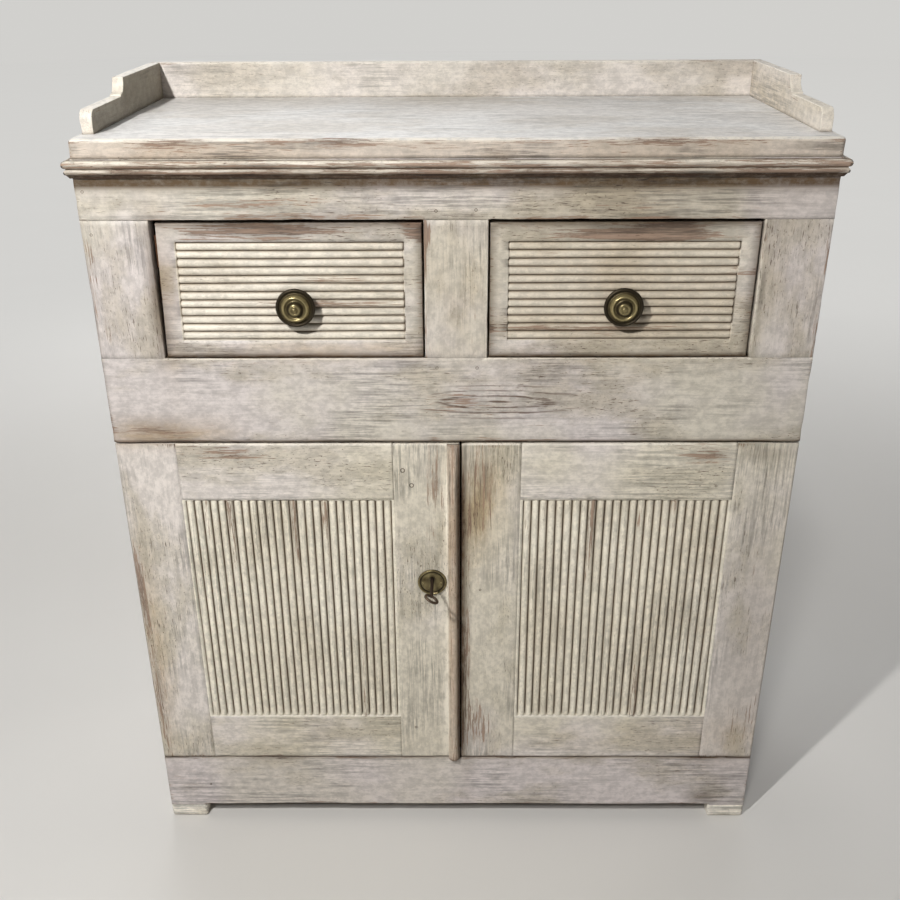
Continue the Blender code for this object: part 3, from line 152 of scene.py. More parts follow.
class FinishNodes:
    """Writes the node tree of one finish, in the piece's own coordinates."""

    def __init__(self, name: str, grain: Grain) -> None:
        """Start a tree that holds a shader and the piece's coordinates.

        Args:
            name: Name of the finish.
            grain: Direction of the grain.
        """
        self.material = bpy.data.materials.new(name)
        self.material.use_nodes = True
        self.nodes = self.material.node_tree.nodes
        self.links = self.material.node_tree.links
        self.shader = self.nodes["Principled BSDF"]
        self.grain = grain
        self.place = self.nodes.new("ShaderNodeTexCoord").outputs["Object"]

    def fill(self, socket: Socket, value: Union[Socket, float, Colour]) -> None:
        """Feed a socket from another socket or with a fixed value.

        Args:
            socket: The socket to feed.
            value: Where its value comes from.
        """
        if isinstance(value, bpy.types.NodeSocket):
            self.links.new(value, socket)
        else:
            socket.default_value = value

    def add(self, kind: str, inputs: dict[Union[str, int], Union[Socket, float, Colour]]) -> bpy.types.Node:
        """Add a node and feed its inputs.

        Args:
            kind: Kind of node.
            inputs: Value for each input, by name or number.

        Returns:
            The node.
        """
        node = self.nodes.new(f"ShaderNode{kind}")
        for name, value in inputs.items():
            self.fill(node.inputs[name], value)
        return node

    def noise(self, scale: float, stretch: float = 1.0, detail: float = 4.0, rough: float = 0.55,
              shift: float = 0.0) -> Socket:
        """Noise that is drawn out along the grain.

        Args:
            scale: Features in a metre along the grain.
            stretch: How many times finer it is across the grain.
            detail: Octaves of finer noise.
            rough: Weight of the finer noise.
            shift: Offset that sets this noise apart from others.

        Returns:
            The noise, about 0.5 on average.
        """
        factors = [scale * stretch] * 3
        factors[self.grain.value] = scale
        start = (shift, 0.7 * shift, 1.3 * shift)
        mapping = self.add("Mapping", {"Vector": self.place, "Location": start, "Scale": factors})
        texture = self.add("TexNoise", {"Vector": mapping.outputs["Vector"], "Scale": 1.0,
                                        "Detail": detail, "Roughness": rough})
        return texture.outputs["Fac"]

    def step(self, value: Socket, low: float, high: float, start: float = 0.0, end: float = 1.0) -> Socket:
        """Smooth rise of one value between two marks.

        Args:
            value: The value that is read.
            low: Mark at which the rise begins.
            high: Mark at which it ends.
            start: Result up to the lower mark.
            end: Result from the upper mark on.

        Returns:
            The result.
        """
        node = self.add("MapRange", {"Value": value, "From Min": low, "From Max": high,
                                     "To Min": start, "To Max": end})
        node.interpolation_type = "SMOOTHSTEP"
        return node.outputs["Result"]

    def reckon(self, operation: str, one: Union[Socket, float], two: Union[Socket, float]) -> Socket:
        """Sum, product or other result of two numbers.

        Args:
            operation: Name of the operation.
            one: First number.
            two: Second number.

        Returns:
            The result.
        """
        node = self.add("Math", {0: one, 1: two})
        node.operation = operation
        return node.outputs[0]

    def total(self, *parts: tuple[Socket, float]) -> Socket:
        """Weighted sum of several values.

        Args:
            parts: Each value with its weight.

        Returns:
            The sum.
        """
        result: Optional[Socket] = None
        for value, weight in parts:
            scaled = self.reckon("MULTIPLY", value, weight)
            result = scaled if result is None else self.reckon("ADD", result, scaled)
        return result

    def coat(self, share: Union[Socket, float], under: Union[Socket, Colour], over: Union[Socket, Colour],
             mode: str = "MIX") -> Socket:
        """One colour laid over another.

        Args:
            share: How much of the upper colour shows.
            under: Lower colour.
            over: Upper colour.
            mode: How the two are mixed.

        Returns:
            The colour that results.
        """
        node = self.nodes.new("ShaderNodeMix")
        node.data_type = "RGBA"
        node.blend_type = mode
        self.fill(node.inputs[0], share)
        self.fill(node.inputs[6], under)
        self.fill(node.inputs[7], over)
        return node.outputs[2]

    def trace(self, kind: Trace) -> Socket:
        """How strong a trace of age is, as stored on the piece.

        Args:
            kind: Kind of trace.

        Returns:
            Its strength.
        """
        node = self.nodes.new("ShaderNodeAttribute")
        node.attribute_name = kind.value
        return node.outputs["Fac"]

    def reach(self, centre: Point, scale: Point) -> Socket:
        """Distance from a point, measured with its own scale along each axis.

        Args:
            centre: The point.
            scale: Factor for each axis.

        Returns:
            The scaled distance.
        """
        offset = self.add("VectorMath", {0: self.place, 1: centre})
        offset.operation = "SUBTRACT"
        scaled = self.add("VectorMath", {0: offset.outputs["Vector"], 1: scale})
        scaled.operation = "MULTIPLY"
        length = self.add("VectorMath", {0: scaled.outputs["Vector"]})
        length.operation = "LENGTH"
        return length.outputs["Value"]

    def relief(self, height: Socket, depth: float, strength: float = 1.0) -> None:
        """Raise the surface a little.

        Args:
            height: Height from 0 to 1.
            depth: Height in metres at 1.
            strength: How much of it shows.
        """
        node = self.add("Bump", {"Height": height, "Distance": depth, "Strength": strength})
        self.links.new(node.outputs["Normal"], self.shader.inputs["Normal"])

    def glow(self, colour: Socket) -> None:
        """Let the surface give off light.

        Args:
            colour: Colour of the light.
        """
        self.shader.inputs["Emission Strength"].default_value = 1.0
        self.links.new(colour, self.shader.inputs["Emission Color"])

    def show(self, colour: Socket, roughness: Socket) -> bpy.types.Material:
        """Feed the shader with its colour and roughness.

        Args:
            colour: Base colour.
            roughness: Roughness.

        Returns:
            The finished material.
        """
        self.links.new(colour, self.shader.inputs["Base Color"])
        self.links.new(roughness, self.shader.inputs["Roughness"])
        return self.material


@dataclass(frozen=True)
class Figure:
    """Arched lines of the grain that show through the paint at one place."""

    centre: Point
    wide: float
    tall: float
    lines: float
    drawn_out: float
    dark: float

    def share(self, nodes: FinishNodes, waver: Socket, breaks: Socket) -> Socket:
        """How dark the lines are.

        Args:
            nodes: The finish that they are part of.
            waver: Noise that bends the lines.
            breaks: Noise that breaks them up.

        Returns:
            Share of the dark colour.
        """
        along = 1.0 / self.drawn_out
        wide_run = nodes.grain is Grain.WIDE
        arch = nodes.reach(self.centre, (along, 0.0, 1.0) if wide_run else (1.0, 0.0, along))
        bent = nodes.total((arch, self.lines), (waver, 1.6))
        line = nodes.step(nodes.reckon("PINGPONG", bent, 0.5), 0.05, 0.24, 1.0, 0.0)
        span = (1.0 / self.wide, 0.0, 1.0 / self.tall)
        near = nodes.step(nodes.reach(self.centre, span), 0.35, 1.0, 1.0, 0.0)
        shown = nodes.reckon("MULTIPLY", line, near)
        return nodes.reckon("MULTIPLY", shown, nodes.step(breaks, 0.40, 0.52, 0.0, self.dark))


@dataclass(frozen=True)
class Finish:
    """A finish, which bears the name of its material."""

    name: str
    grain: Grain

    def material(self) -> bpy.types.Material:
        """The finish as a material, made once."""
        return bpy.data.materials.get(self.name) or self.make()

    def make(self) -> bpy.types.Material:
        """Write the finish, each kind in its own way."""
        raise NotImplementedError(self.name)


@dataclass(frozen=True)
class AgedPaint(Finish):
    """Old scraped paint on pine: soft clouds of two tones, fine dark flecks, bare wood where it is worn, and
    painted highlight and shade.
    """

    sound: Colour = tint(216, 207, 204)
    faded: Colour = tint(211, 203, 193)
    stain: Colour = tint(184, 174, 155)
    # Lighter paint for edges that face the light: a painted highlight.
    highlight_tone: Colour = tint(243, 236, 221)
    wood: Colour = tint(153, 125, 105)
    core: Colour = tint(92, 72, 58)
    # Darkens the paint where there is grime: real dirt, and painted shade.
    soil_and_shade: Colour = tint(104, 84, 58)
    tan: Colour = tint(234, 208, 158)
    bareness: float = 0.0
    streaks: float = 0.8
    flecks: float = 0.85
    figures: tuple[Figure, ...] = ()

    def make(self) -> bpy.types.Material:
        """Write the finish.

        Returns:
            The new material.
        """
        nodes = FinishNodes(self.name, self.grain)
        cloud = nodes.noise(scale=5.0, stretch=1.0, detail=4.0, rough=0.5)
        patch = nodes.noise(scale=6.5, stretch=2.4, detail=5.0, rough=0.6, shift=11.0)
        mottle = nodes.noise(scale=75.0, stretch=1.5, detail=7.0, rough=0.78, shift=3.1)
        streak = nodes.noise(scale=7.0, stretch=34.0, detail=6.0, rough=0.6, shift=7.7)
        fine = nodes.noise(scale=34.0, stretch=22.0, detail=4.0, rough=0.65, shift=1.9)
        ticks = nodes.noise(scale=70.0, stretch=14.0, detail=3.0, rough=0.55, shift=5.3)
        grit = nodes.noise(scale=230.0, stretch=3.2, detail=2.0, rough=0.5, shift=8.6)
        scrape = nodes.noise(scale=7.0, stretch=1.6, detail=4.0, rough=0.55, shift=21.0)
        scraped = nodes.step(scrape, 0.46, 0.62, 0.14, 1.0)
        outer = nodes.step(nodes.reach((0.0, 0.0, 0.0), (1.0, 0.0, 0.0)), 0.24, 0.41)

        tone = nodes.total((cloud, 1.0), (outer, 0.09))
        colour = nodes.coat(nodes.step(tone, 0.42, 0.62), self.faded, self.sound)
        colour = nodes.coat(nodes.step(patch, 0.47, 0.64, 0.0, 0.6), colour, self.stain)
        tanned = nodes.reckon("MULTIPLY", nodes.trace(Trace.TAN), nodes.step(patch, 0.38, 0.58, 0.4, 1.0))
        colour = nodes.coat(tanned, colour, nodes.coat(1.0, colour, self.tan, "MULTIPLY"))
        colour = nodes.coat(1.0, colour, nodes.step(mottle, 0.38, 0.62, 0.81, 1.08), "MULTIPLY")
        grain = nodes.total((streak, 0.55), (fine, 0.45))
        lines = nodes.step(grain, 0.42, 0.55, 1.0 - 0.6 * self.streaks, 1.05)
        colour = nodes.coat(scraped, colour, nodes.coat(1.0, colour, lines, "MULTIPLY"))
        # Painted highlight: lighter paint on edges that face the light.
        pale = nodes.reckon("MULTIPLY", nodes.trace(Trace.PALE), nodes.step(mottle, 0.36, 0.5, 0.3, 1.0))
        colour = nodes.coat(pale, colour, self.highlight_tone)

        worn = nodes.total((nodes.trace(Trace.BARE), 1.0), (streak, 0.9), (fine, 1.1), (mottle, 0.4))
        worn = nodes.step(worn, 1.48 - self.bareness, 1.62 - self.bareness)
        timber = nodes.coat(nodes.step(grain, 0.42, 0.6), self.core, self.wood)
        colour = nodes.coat(nodes.reckon("MULTIPLY", worn, 0.85), colour, timber)

        spots = nodes.reckon("MAXIMUM", nodes.step(ticks, 0.63, 0.69), nodes.step(grit, 0.66, 0.71))
        dotted = nodes.step(patch, 0.46, 0.61, 0.12 * self.flecks, self.flecks)
        spots = nodes.reckon("MULTIPLY", spots, dotted)
        for figure in self.figures:
            spots = nodes.reckon("MAXIMUM", spots, figure.share(nodes, patch, fine))
        colour = nodes.coat(spots, colour, self.core)
        # The grime trace darkens the paint: dirt, and painted shade under the moulding, in the gaps and in
        # the grooves.
        dirt_and_shade = nodes.reckon("MULTIPLY", nodes.trace(Trace.GRIME), nodes.step(mottle, 0.3, 0.6, 0.75, 1.0))
        colour = nodes.coat(dirt_and_shade, colour, nodes.coat(1.0, colour, self.soil_and_shade, "MULTIPLY"))

        height = nodes.total((streak, 0.45), (fine, 0.35), (worn, -0.35), (spots, -0.5), (mottle, 0.2))
        nodes.relief(height, 0.0007, 0.7)
        return nodes.show(colour, nodes.step(nodes.total((worn, 0.6), (mottle, 0.4)), 0.1, 0.8, 0.5, 0.82))


@dataclass(frozen=True)
class OldPine(Finish):
    """Unpainted pine that has darkened with age."""

    pale: Colour = tint(198, 162, 118)
    deep: Colour = tint(156, 116, 76)
    dust: Colour = tint(124, 100, 78)
    seed: float = 0.0
    # How much darker the wood is near the front: painted shade of the gap round the drawer front.
    gap_shade: float = 0.0

    def make(self) -> bpy.types.Material:
        """Write the finish.

        Returns:
            The new material.
        """
        nodes = FinishNodes(self.name, self.grain)
        rings = nodes.noise(scale=1.3, stretch=24.0, detail=2.0, rough=0.45, shift=2.0 + self.seed)
        bands = nodes.reckon("PINGPONG", nodes.reckon("MULTIPLY", rings, 24.0), 1.0)
        fibre = nodes.noise(scale=30.0, stretch=46.0, detail=5.0, rough=0.7, shift=4.0 + self.seed)
        cloud = nodes.noise(scale=4.0, stretch=1.5, detail=4.0, rough=0.6, shift=6.0 + self.seed)
        tone = nodes.total((bands, 0.3), (fibre, 0.7))
        colour = nodes.coat(nodes.step(tone, 0.28, 0.72), self.deep, self.pale)
        colour = nodes.coat(nodes.step(cloud, 0.42, 0.75, 0.0, 0.5), colour, self.dust)
        # Darker near the front: painted shade where the sides show through the gap round the drawer front.
        if self.gap_shade > 0.0:
            front = nodes.step(nodes.reach((0.0, FRONT, 0.0), (0.0, 60.0, 0.0)), 0.6, 1.0, self.gap_shade, 0.0)
            colour = nodes.coat(front, colour, nodes.coat(1.0, colour, self.dust, "MULTIPLY"))
        nodes.relief(nodes.total((fibre, 0.6), (bands, 0.25)), 0.0006, 0.7)
        return nodes.show(colour, nodes.step(fibre, 0.3, 0.7, 0.68, 0.85))


@dataclass(frozen=True)
class OldMetal(Finish):
    """Metal that is bright where hands rub it and dark where they do not."""

    bright: Colour
    dark: Colour
    crust: Colour
    smooth: float
    rough: float

    def make(self) -> bpy.types.Material:
        """Write the finish.

        Returns:
            The new material.
        """
        nodes = FinishNodes(self.name, self.grain)
        nodes.shader.inputs["Metallic"].default_value = 0.75
        cloud = nodes.noise(scale=90.0, stretch=1.0, detail=5.0, rough=0.6)
        grit = nodes.noise(scale=900.0, stretch=1.0, detail=3.0, rough=0.6, shift=4.0)
        rubbed = nodes.trace(Trace.BARE)
        grime = nodes.trace(Trace.GRIME)
        polish = nodes.step(nodes.total((rubbed, 0.55), (cloud, 0.9)), 0.4, 0.85)
        colour = nodes.coat(polish, self.dark, self.bright)
        crust = nodes.total((grime, 0.9), (nodes.step(grit, 0.58, 0.72), 0.35))
        colour = nodes.coat(crust, colour, self.crust)
        nodes.relief(nodes.total((cloud, 0.6), (grit, 0.3)), 0.0003, 0.6)
        return nodes.show(colour, nodes.step(polish, 0.0, 1.0, self.rough, self.smooth))


@dataclass(frozen=True)
class PaleFloor(Finish):
    """Pale, even studio floor that gives back the wall's light far from the cabinet."""

    name: str = "pale_floor"
    grain: Grain = Grain.WIDE
    near: Colour = tint(222, 220, 216)
    far: Colour = tint(244, 242, 238)
    shade: Colour = tint(216, 214, 210)
    glow: Colour = tint(206, 205, 202)

    def make(self) -> bpy.types.Material:
        """Write the finish.

        Returns:
            The new material.
        """
        nodes = FinishNodes(self.name, self.grain)
        cloud = nodes.noise(scale=1.5, stretch=1.0, detail=4.0)
        reach = nodes.reach((0.0, 0.0, 0.0), (1.0, 1.0, 1.0))
        dark = tint(0, 0, 0)
        lit = nodes.step(reach, 1.2, 3.0)
        near = nodes.coat(cloud, self.near, self.shade)
        colour = nodes.coat(nodes.step(reach, 0.9, 3.2), near, self.far)
        nodes.glow(nodes.coat(lit, dark, self.glow))
        return nodes.show(nodes.coat(lit, colour, dark), nodes.step(cloud, 0.2, 0.8, 0.6, 0.75))


@dataclass(frozen=True)
class PaleWall(Finish):
    """Pale wall that gives back an even light."""

    name: str = "pale_wall"
    grain: Grain = Grain.WIDE
    light: Colour = tint(207, 206, 203)
    shade: Colour = tint(205, 204, 201)

    def make(self) -> bpy.types.Material:
        """Write the finish.

        Returns:
            The new material.
        """
        nodes = FinishNodes(self.name, self.grain)
        cloud = nodes.noise(scale=0.05, stretch=1.0, detail=3.0)
        nodes.glow(nodes.coat(cloud, self.light, self.shade))
        nodes.shader.inputs["Base Color"].default_value = (0.0, 0.0, 0.0, 1.0)
        return nodes.material


RAIL_PAINT = AgedPaint(
    "rail_paint", Grain.WIDE, sound=tint(209, 201, 197), faded=tint(205, 198, 184), stain=tint(178, 168, 148),
    streaks=0.74, flecks=1.0, figures=(
        Figure((0.052, 0.0, 0.664), wide=0.135, tall=0.034, lines=150.0, drawn_out=9.0, dark=0.9),))
STILE_PAINT = replace(RAIL_PAINT, name="stile_paint", grain=Grain.TALL, figures=())
PLINTH_PAINT = AgedPaint("plinth_paint", Grain.WIDE, streaks=0.7, flecks=1.0)
HINGE_STILE_PAINT = AgedPaint(
    "hinge_stile_paint", Grain.TALL, sound=tint(222, 214, 207), faded=tint(219, 211, 194),
    stain=tint(190, 181, 160), streaks=0.65, flecks=1.0)
SIDE_PAINT = AgedPaint("side_paint", Grain.TALL, bareness=0.04)
# Cooler and paler than the front's paint: painted cool light that falls on the top from above.
TOP_COOL_LIT_PAINT = AgedPaint(
    "top_cool_lit_paint", Grain.WIDE, sound=tint(224, 222, 219), faded=tint(218, 214, 209), stain=tint(200, 193, 183),
    streaks=0.45, flecks=0.3)
TOP_EDGE_PAINT = AgedPaint(
    "top_edge_paint", Grain.WIDE, sound=tint(218, 206, 193), faded=tint(208, 194, 178),
    stain=tint(184, 166, 146), bareness=0.06, streaks=1.0)
GALLERY_PAINT = AgedPaint(
    "gallery_paint", Grain.WIDE, sound=tint(231, 223, 216), faded=tint(224, 217, 206),
    stain=tint(200, 190, 174), streaks=0.8, flecks=0.5)
GALLERY_END_PAINT = AgedPaint(
    "gallery_end_paint", Grain.DEEP, sound=tint(230, 221, 209), faded=tint(224, 216, 203),
    stain=tint(206, 194, 172), streaks=0.6, flecks=0.3)
# Dark paint for the left gallery's inner face: painted shade, as that face is turned from the light.
GALLERY_SHADED_INNER_PAINT = AgedPaint(
    "gallery_inner_shaded_paint", Grain.DEEP, sound=tint(157, 148, 131), faded=tint(148, 140, 122),
    stain=tint(133, 123, 105), streaks=0.6, flecks=0.3)
MOULDING_PAINT = AgedPaint(
    "moulding_paint", Grain.WIDE, sound=tint(222, 212, 198), faded=tint(204, 192, 176),
    stain=tint(166, 150, 128), bareness=0.24, streaks=1.2)
MOULDING_END_PAINT = replace(MOULDING_PAINT, name="moulding_end_paint", grain=Grain.DEEP)
DOOR_RAIL_PAINT = replace(HINGE_STILE_PAINT, name="door_rail_paint", grain=Grain.WIDE, streaks=0.62)
DOOR_STILE_PAINT = AgedPaint(
    "door_stile_paint", Grain.TALL, sound=tint(219, 211, 204), faded=tint(216, 208, 191),
    stain=tint(188, 179, 157), streaks=0.68, flecks=1.0,
    figures=(Figure((0.030, 0.0, 0.535), wide=0.026, tall=0.09, lines=170.0, drawn_out=14.0, dark=0.5),))
REED_PAINT = AgedPaint(
    "door_reed_paint", Grain.TALL, sound=tint(246, 239, 222), faded=tint(239, 231, 212),
    stain=tint(218, 208, 187), soil_and_shade=tint(96, 76, 52), streaks=0.5, flecks=0.5)
DRAWER_REED_PAINT = AgedPaint(
    "drawer_reed_paint", Grain.WIDE, sound=tint(231, 223, 208), faded=tint(221, 212, 196),
    stain=tint(198, 187, 168), soil_and_shade=tint(116, 96, 70), streaks=0.4, flecks=0.5)
BEAD_PAINT = AgedPaint(
    "bead_paint", Grain.TALL, sound=tint(222, 209, 192), faded=tint(204, 186, 166), stain=tint(176, 154, 130),
    bareness=0.2, streaks=1.1)
# Whiter paint than the frame, made lighter still: painted light on the feet, which lie in shade near the
# floor.
FOOT_LIT_PAINT = AgedPaint(
    "foot_lit_paint", Grain.WIDE, sound=tint(255, 249, 236), faded=tint(252, 243, 226), stain=tint(240, 228, 206))
PINE_WIDE = OldPine("pine_wide", Grain.WIDE)
PINE_DEEP = OldPine("pine_deep", Grain.DEEP)
PINE_TALL = OldPine("pine_tall", Grain.TALL)
DRAWER_PINE = OldPine("drawer_pine", Grain.DEEP, seed=3.0, gap_shade=1.0)
BACK_PINES = (
    OldPine("back_pine_1", Grain.TALL, seed=11.0),
    OldPine("back_pine_2", Grain.TALL, tint(190, 154, 112), tint(150, 112, 74), seed=17.0),
    OldPine("back_pine_3", Grain.TALL, tint(202, 168, 124), tint(160, 122, 82), seed=23.0),
)
BRASS = OldMetal(
    "aged_brass", Grain.TALL, tint(164, 150, 108), tint(92, 80, 54), tint(46, 39, 29), smooth=0.32, rough=0.5)
IRON = OldMetal(
    "dark_iron", Grain.TALL, tint(112, 98, 84), tint(58, 50, 43), tint(72, 50, 36), smooth=0.4, rough=0.65)


@dataclass(frozen=True)
class Mark:
    """A spot where the paint has aged more than round about it."""

    trace: Trace
    centre: Point
    reach: Point
    strength: float

    def amount(self, places: Array) -> Array:
        """Strength of the mark at some points.

        Args:
            places: The points, one to a row.

        Returns:
            One number for each point.
        """
        offset = (places - np.array(self.centre)) / np.array(self.reach)
        return self.strength * np.exp(-np.sum(offset * offset, axis=1))


def on_front(trace: Trace, row: Row) -> Mark:
    """A mark on the front of the cabinet.

    Args:
        trace: Kind of mark.
        row: X and Z of its middle, half its width, half its height, and its strength.

    Returns:
        The mark.
    """
    x, z, wide, tall, strength = row
    return Mark(trace, (x, FRONT, z), (wide, MARK_DEPTH, tall), strength)


# Marks on the front: X and Z of the middle, half the width, half the height, and the strength.
FRONT_MARKS: dict[Trace, tuple[Row, ...]] = {
    Trace.BARE: (
        (-0.236, 0.9025, 0.105, 0.006, 0.45), (-0.18, 0.8895, 0.09, 0.004, 0.35),
        (0.187, 0.900, 0.075, 0.006, 0.25), (-0.2035, 0.8705, 0.085, 0.010, 0.7),
        (-0.30, 0.869, 0.04, 0.009, 0.35), (-0.046, 0.869, 0.016, 0.011, 0.7),
        (0.194, 0.868, 0.105, 0.011, 0.66), (0.243, 0.868, 0.042, 0.010, 0.4),
        (-0.361, 0.629, 0.055, 0.011, 0.45), (0.007, 0.664, 0.046, 0.018, 0.34),
        (0.10, 0.653, 0.067, 0.018, 0.2), (-0.281, 0.5936, 0.058, 0.012, 0.42),
        (-0.0285, 0.556, 0.010, 0.060, 0.47), (-0.0315, 0.4675, 0.009, 0.034, 0.4),
        (0.0335, 0.566, 0.022, 0.045, 0.36), (0.0245, 0.498, 0.017, 0.036, 0.42),
        (0.014, 0.25, 0.008, 0.15, 0.35), (0.036, 0.168, 0.024, 0.05, 0.35),
        (0.3094, 0.5928, 0.038, 0.012, 0.48), (-0.414, 0.396, 0.007, 0.085, 0.5),
        (-0.411, 0.21, 0.008, 0.10, 0.42), (0.401, 0.178, 0.024, 0.055, 0.25),
        (0.387, 0.457, 0.025, 0.075, 0.15), (-0.411, 0.835, 0.006, 0.045, 0.4),
        (-0.402, 0.755, 0.010, 0.040, 0.3), (-0.385, 0.069, 0.03, 0.03, 0.2),
    ),
    # Grime rows are dirt and stains, except those marked below as painted shade.
    Trace.GRIME: (
        (0.194, 0.874, 0.14, 0.007, 0.35), (-0.19, 0.874, 0.14, 0.007, 0.35),
        (-0.37, 0.630, 0.07, 0.016, 0.28), (0.377, 0.594, 0.03, 0.011, 0.35),
        # The second row on this line and the first on the next: painted shade in the wide gap at the left
        # drawer's end. The second on the next line: the painted shadow under the moulding, with dirt.
        (0.356, 0.038, 0.02, 0.010, 0.6), (-0.347, 0.80, 0.006, 0.075, 0.6),
        (-0.33, 0.80, 0.010, 0.07, 0.3), (0.0, 0.9285, 2.0, 0.0084, 2.0),
        # Painted shade in the gaps over and under the doors.
        (0.0, 0.6118, 2.0, 0.0022, 0.9), (0.0, 0.1118, 2.0, 0.0024, 0.9),
        (0.26, 0.908, 0.16, 0.03, 0.22), (0.20, 0.80, 0.16, 0.09, 0.16),
        # First row: painted shade that darkens the right hinge stile, as the light falls off to the right.
        # The rows at X ±0.4195: a painted dark outline on the outer edges, where the sides turn from the
        # light.
        (0.39, 0.33, 0.05, 0.26, 0.3), (-0.4195, 0.36, 0.0016, 0.30, 0.6),
        (-0.4195, 0.78, 0.0016, 0.12, 0.5), (0.4195, 0.36, 0.0016, 0.30, 0.6),
        # Painted shadow of the meeting bead on the right door.
        (0.0085, 0.17, 0.0055, 0.12, 0.8), (0.0085, 0.36, 0.0055, 0.12, 0.8),
        (0.0085, 0.53, 0.0055, 0.09, 0.8),
    ),
    # Painted highlight: lighter paint on edges that catch the light, such as the sides of the drawer
    # openings, the bead's left side and the top of the doors, and one spot on the left drawer.
    Trace.PALE: (
        (0.0355, 0.80, 0.0014, 0.09, 0.6), (0.3447, 0.80, 0.0014, 0.09, 0.6),
        (-0.0358, 0.78, 0.0014, 0.06, 0.4), (-0.0116, 0.20, 0.0018, 0.08, 1.2),
        (-0.0116, 0.36, 0.0018, 0.10, 1.2), (-0.0116, 0.52, 0.0018, 0.06, 1.2),
        (-0.0050, 0.6060, 0.010, 0.0020, 0.9), (-0.300, 0.7545, 0.022, 0.012, 0.8),
    ),
    Trace.TAN: (
        (-0.378, 0.622, 0.06, 0.016, 1.0), (-0.30, 0.63, 0.03, 0.012, 0.5),
        (-0.14, 0.729, 0.12, 0.010, 0.6), (-0.335, 0.80, 0.012, 0.09, 0.5),
        (0.0, 0.80, 0.035, 0.09, 0.12), (0.19, 0.80, 0.17, 0.085, 0.28),
        (0.25, 0.908, 0.2, 0.024, 0.18), (-0.22, 0.145, 0.16, 0.035, 0.08),
        (0.21, 0.145, 0.16, 0.035, 0.12), (-0.404, 0.30, 0.014, 0.15, 0.4),
        (0.03, 0.52, 0.03, 0.07, 0.7), (0.375, 0.155, 0.05, 0.05, 0.25),
        (-0.0090, 0.27, 0.0030, 0.10, 0.7), (-0.0090, 0.46, 0.0030, 0.10, 0.7),
    ),
}
# Marks before and behind the face of the front.
DEEP_MARKS = (
    # Painted shade in the gaps under the drawers.
    Mark(Trace.GRIME, (-0.21, -0.1455, 0.7220), (0.17, 0.002, 0.0036), 3.0),
    Mark(Trace.GRIME, (0.19, -0.1455, 0.7220), (0.19, 0.002, 0.0032), 2.6),
    # Painted shadow of the meeting bead on the right door.
    Mark(Trace.GRIME, (0.0040, -0.156, 0.19), (0.0040, 0.005, 0.10), 1.5),
    Mark(Trace.GRIME, (0.0040, -0.156, 0.36), (0.0040, 0.005, 0.10), 1.5),
    Mark(Trace.GRIME, (0.0040, -0.156, 0.52), (0.0040, 0.005, 0.08), 1.5),
    Mark(Trace.BARE, (-0.25, -0.1495, 0.969), (0.16, 0.007, 0.004), 0.22),
    Mark(Trace.BARE, (0.18, -0.1495, 0.969), (0.12, 0.007, 0.004), 0.2),
    Mark(Trace.GRIME, (0.0, -0.1525, 0.962), (2.0, 0.008, 0.010), 0.3),
)
MARKS = tuple(on_front(trace, row) for trace, group in FRONT_MARKS.items() for row in group) + DEEP_MARKS


def rough_at(places: Array, scale: float, shift: float) -> Array:
    """Smooth random numbers from -1 to 1 at some points.

    Args:
        places: The points, one to a row.
        scale: Features in a metre.
        shift: Offset that sets these numbers apart from others.

    Returns:
        One number for each point.
    """
    offset = Vector((shift, 1.7 * shift, 0.6 * shift))
    return np.array([noise.noise(Vector(place) * scale + offset) for place in places])


def distance_to_lines(places: Array, lines: Array) -> Array:
    """How far points are from the nearest of some lines.

    Args:
        places: The points, one to a row.
        lines: The two ends of each line.

    Returns:
        One distance for each point.
    """
    best = np.full(len(places), 1.0)
    for start, end in lines:
        run = end - start
        share = np.clip((places - start) @ run / (run @ run), 0.0, 1.0)
        best = np.minimum(best, np.linalg.norm(places - start - share[:, None] * run, axis=1))
    return best


def bell(values: Array, width: float) -> Array:
    """Bell curve that is 1 at 0 and falls off over a width."""
    return np.exp(-((values / width) ** 2))


def within(point: Vector, boxes: list[Box], slack: float = 0.0) -> bool:
    """Whether a point lies in one of some boxes.

    Args:
        point: The point.
        boxes: The boxes.
        slack: How far outside still counts.

    Returns:
        True if it does.
    """
    return any(all(a[i] - slack <= point[i] <= b[i] + slack for i in range(3)) for a, b in boxes)


def lies_on_box(edge: bmesh.types.BMEdge, low: Vector, high: Vector) -> bool:
    """Whether an edge lies in two faces of a box.

    Args:
        edge: The edge.
        low: Lowest corner of the box.
        high: Highest corner of the box.

    Returns:
        True if it does.
    """
    flats = 0
    for axis in range(3):
        one, two = (v.co[axis] for v in edge.verts)
        flats += abs(one - two) < WELD and min(abs(one - low[axis]), abs(one - high[axis])) < ON_FACE
    return flats >= 2


def hoop(bm: Mesh, one: list[bmesh.types.BMVert], two: list[bmesh.types.BMVert]) -> None:
    """Lay faces between two closed rings of vertices.

    Args:
        bm: Mesh that takes them.
        one: First ring.
        two: Second ring, with as many vertices.
    """
    for i in range(len(one)):
        j = (i + 1) % len(one)
        bm.faces.new((one[i], one[j], two[j], two[i]))


def body_of(node: str) -> str:
    """Name of the body that carries a node."""
    return frame["nodes"][node]["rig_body"]


def link_piece(name: str, bm: Mesh, sharp: Optional[float] = None) -> Piece:
    """Make an object from a mesh in the making.

    Args:
        name: Name of the piece.
        bm: Its mesh, which is freed.
        sharp: Angle in degrees from which an edge stays sharp.

    Returns:
        The piece, smoothly shaded.
    """
    mesh = bpy.data.meshes.new(name)
    bm.to_mesh(mesh)
    bm.free()
    mesh.shade_smooth()
    if sharp is not None:
        mesh.set_sharp_from_angle(angle=math.radians(sharp))
    piece = bpy.data.objects.new(name, mesh)
    bpy.context.scene.collection.objects.link(piece)
    return piece


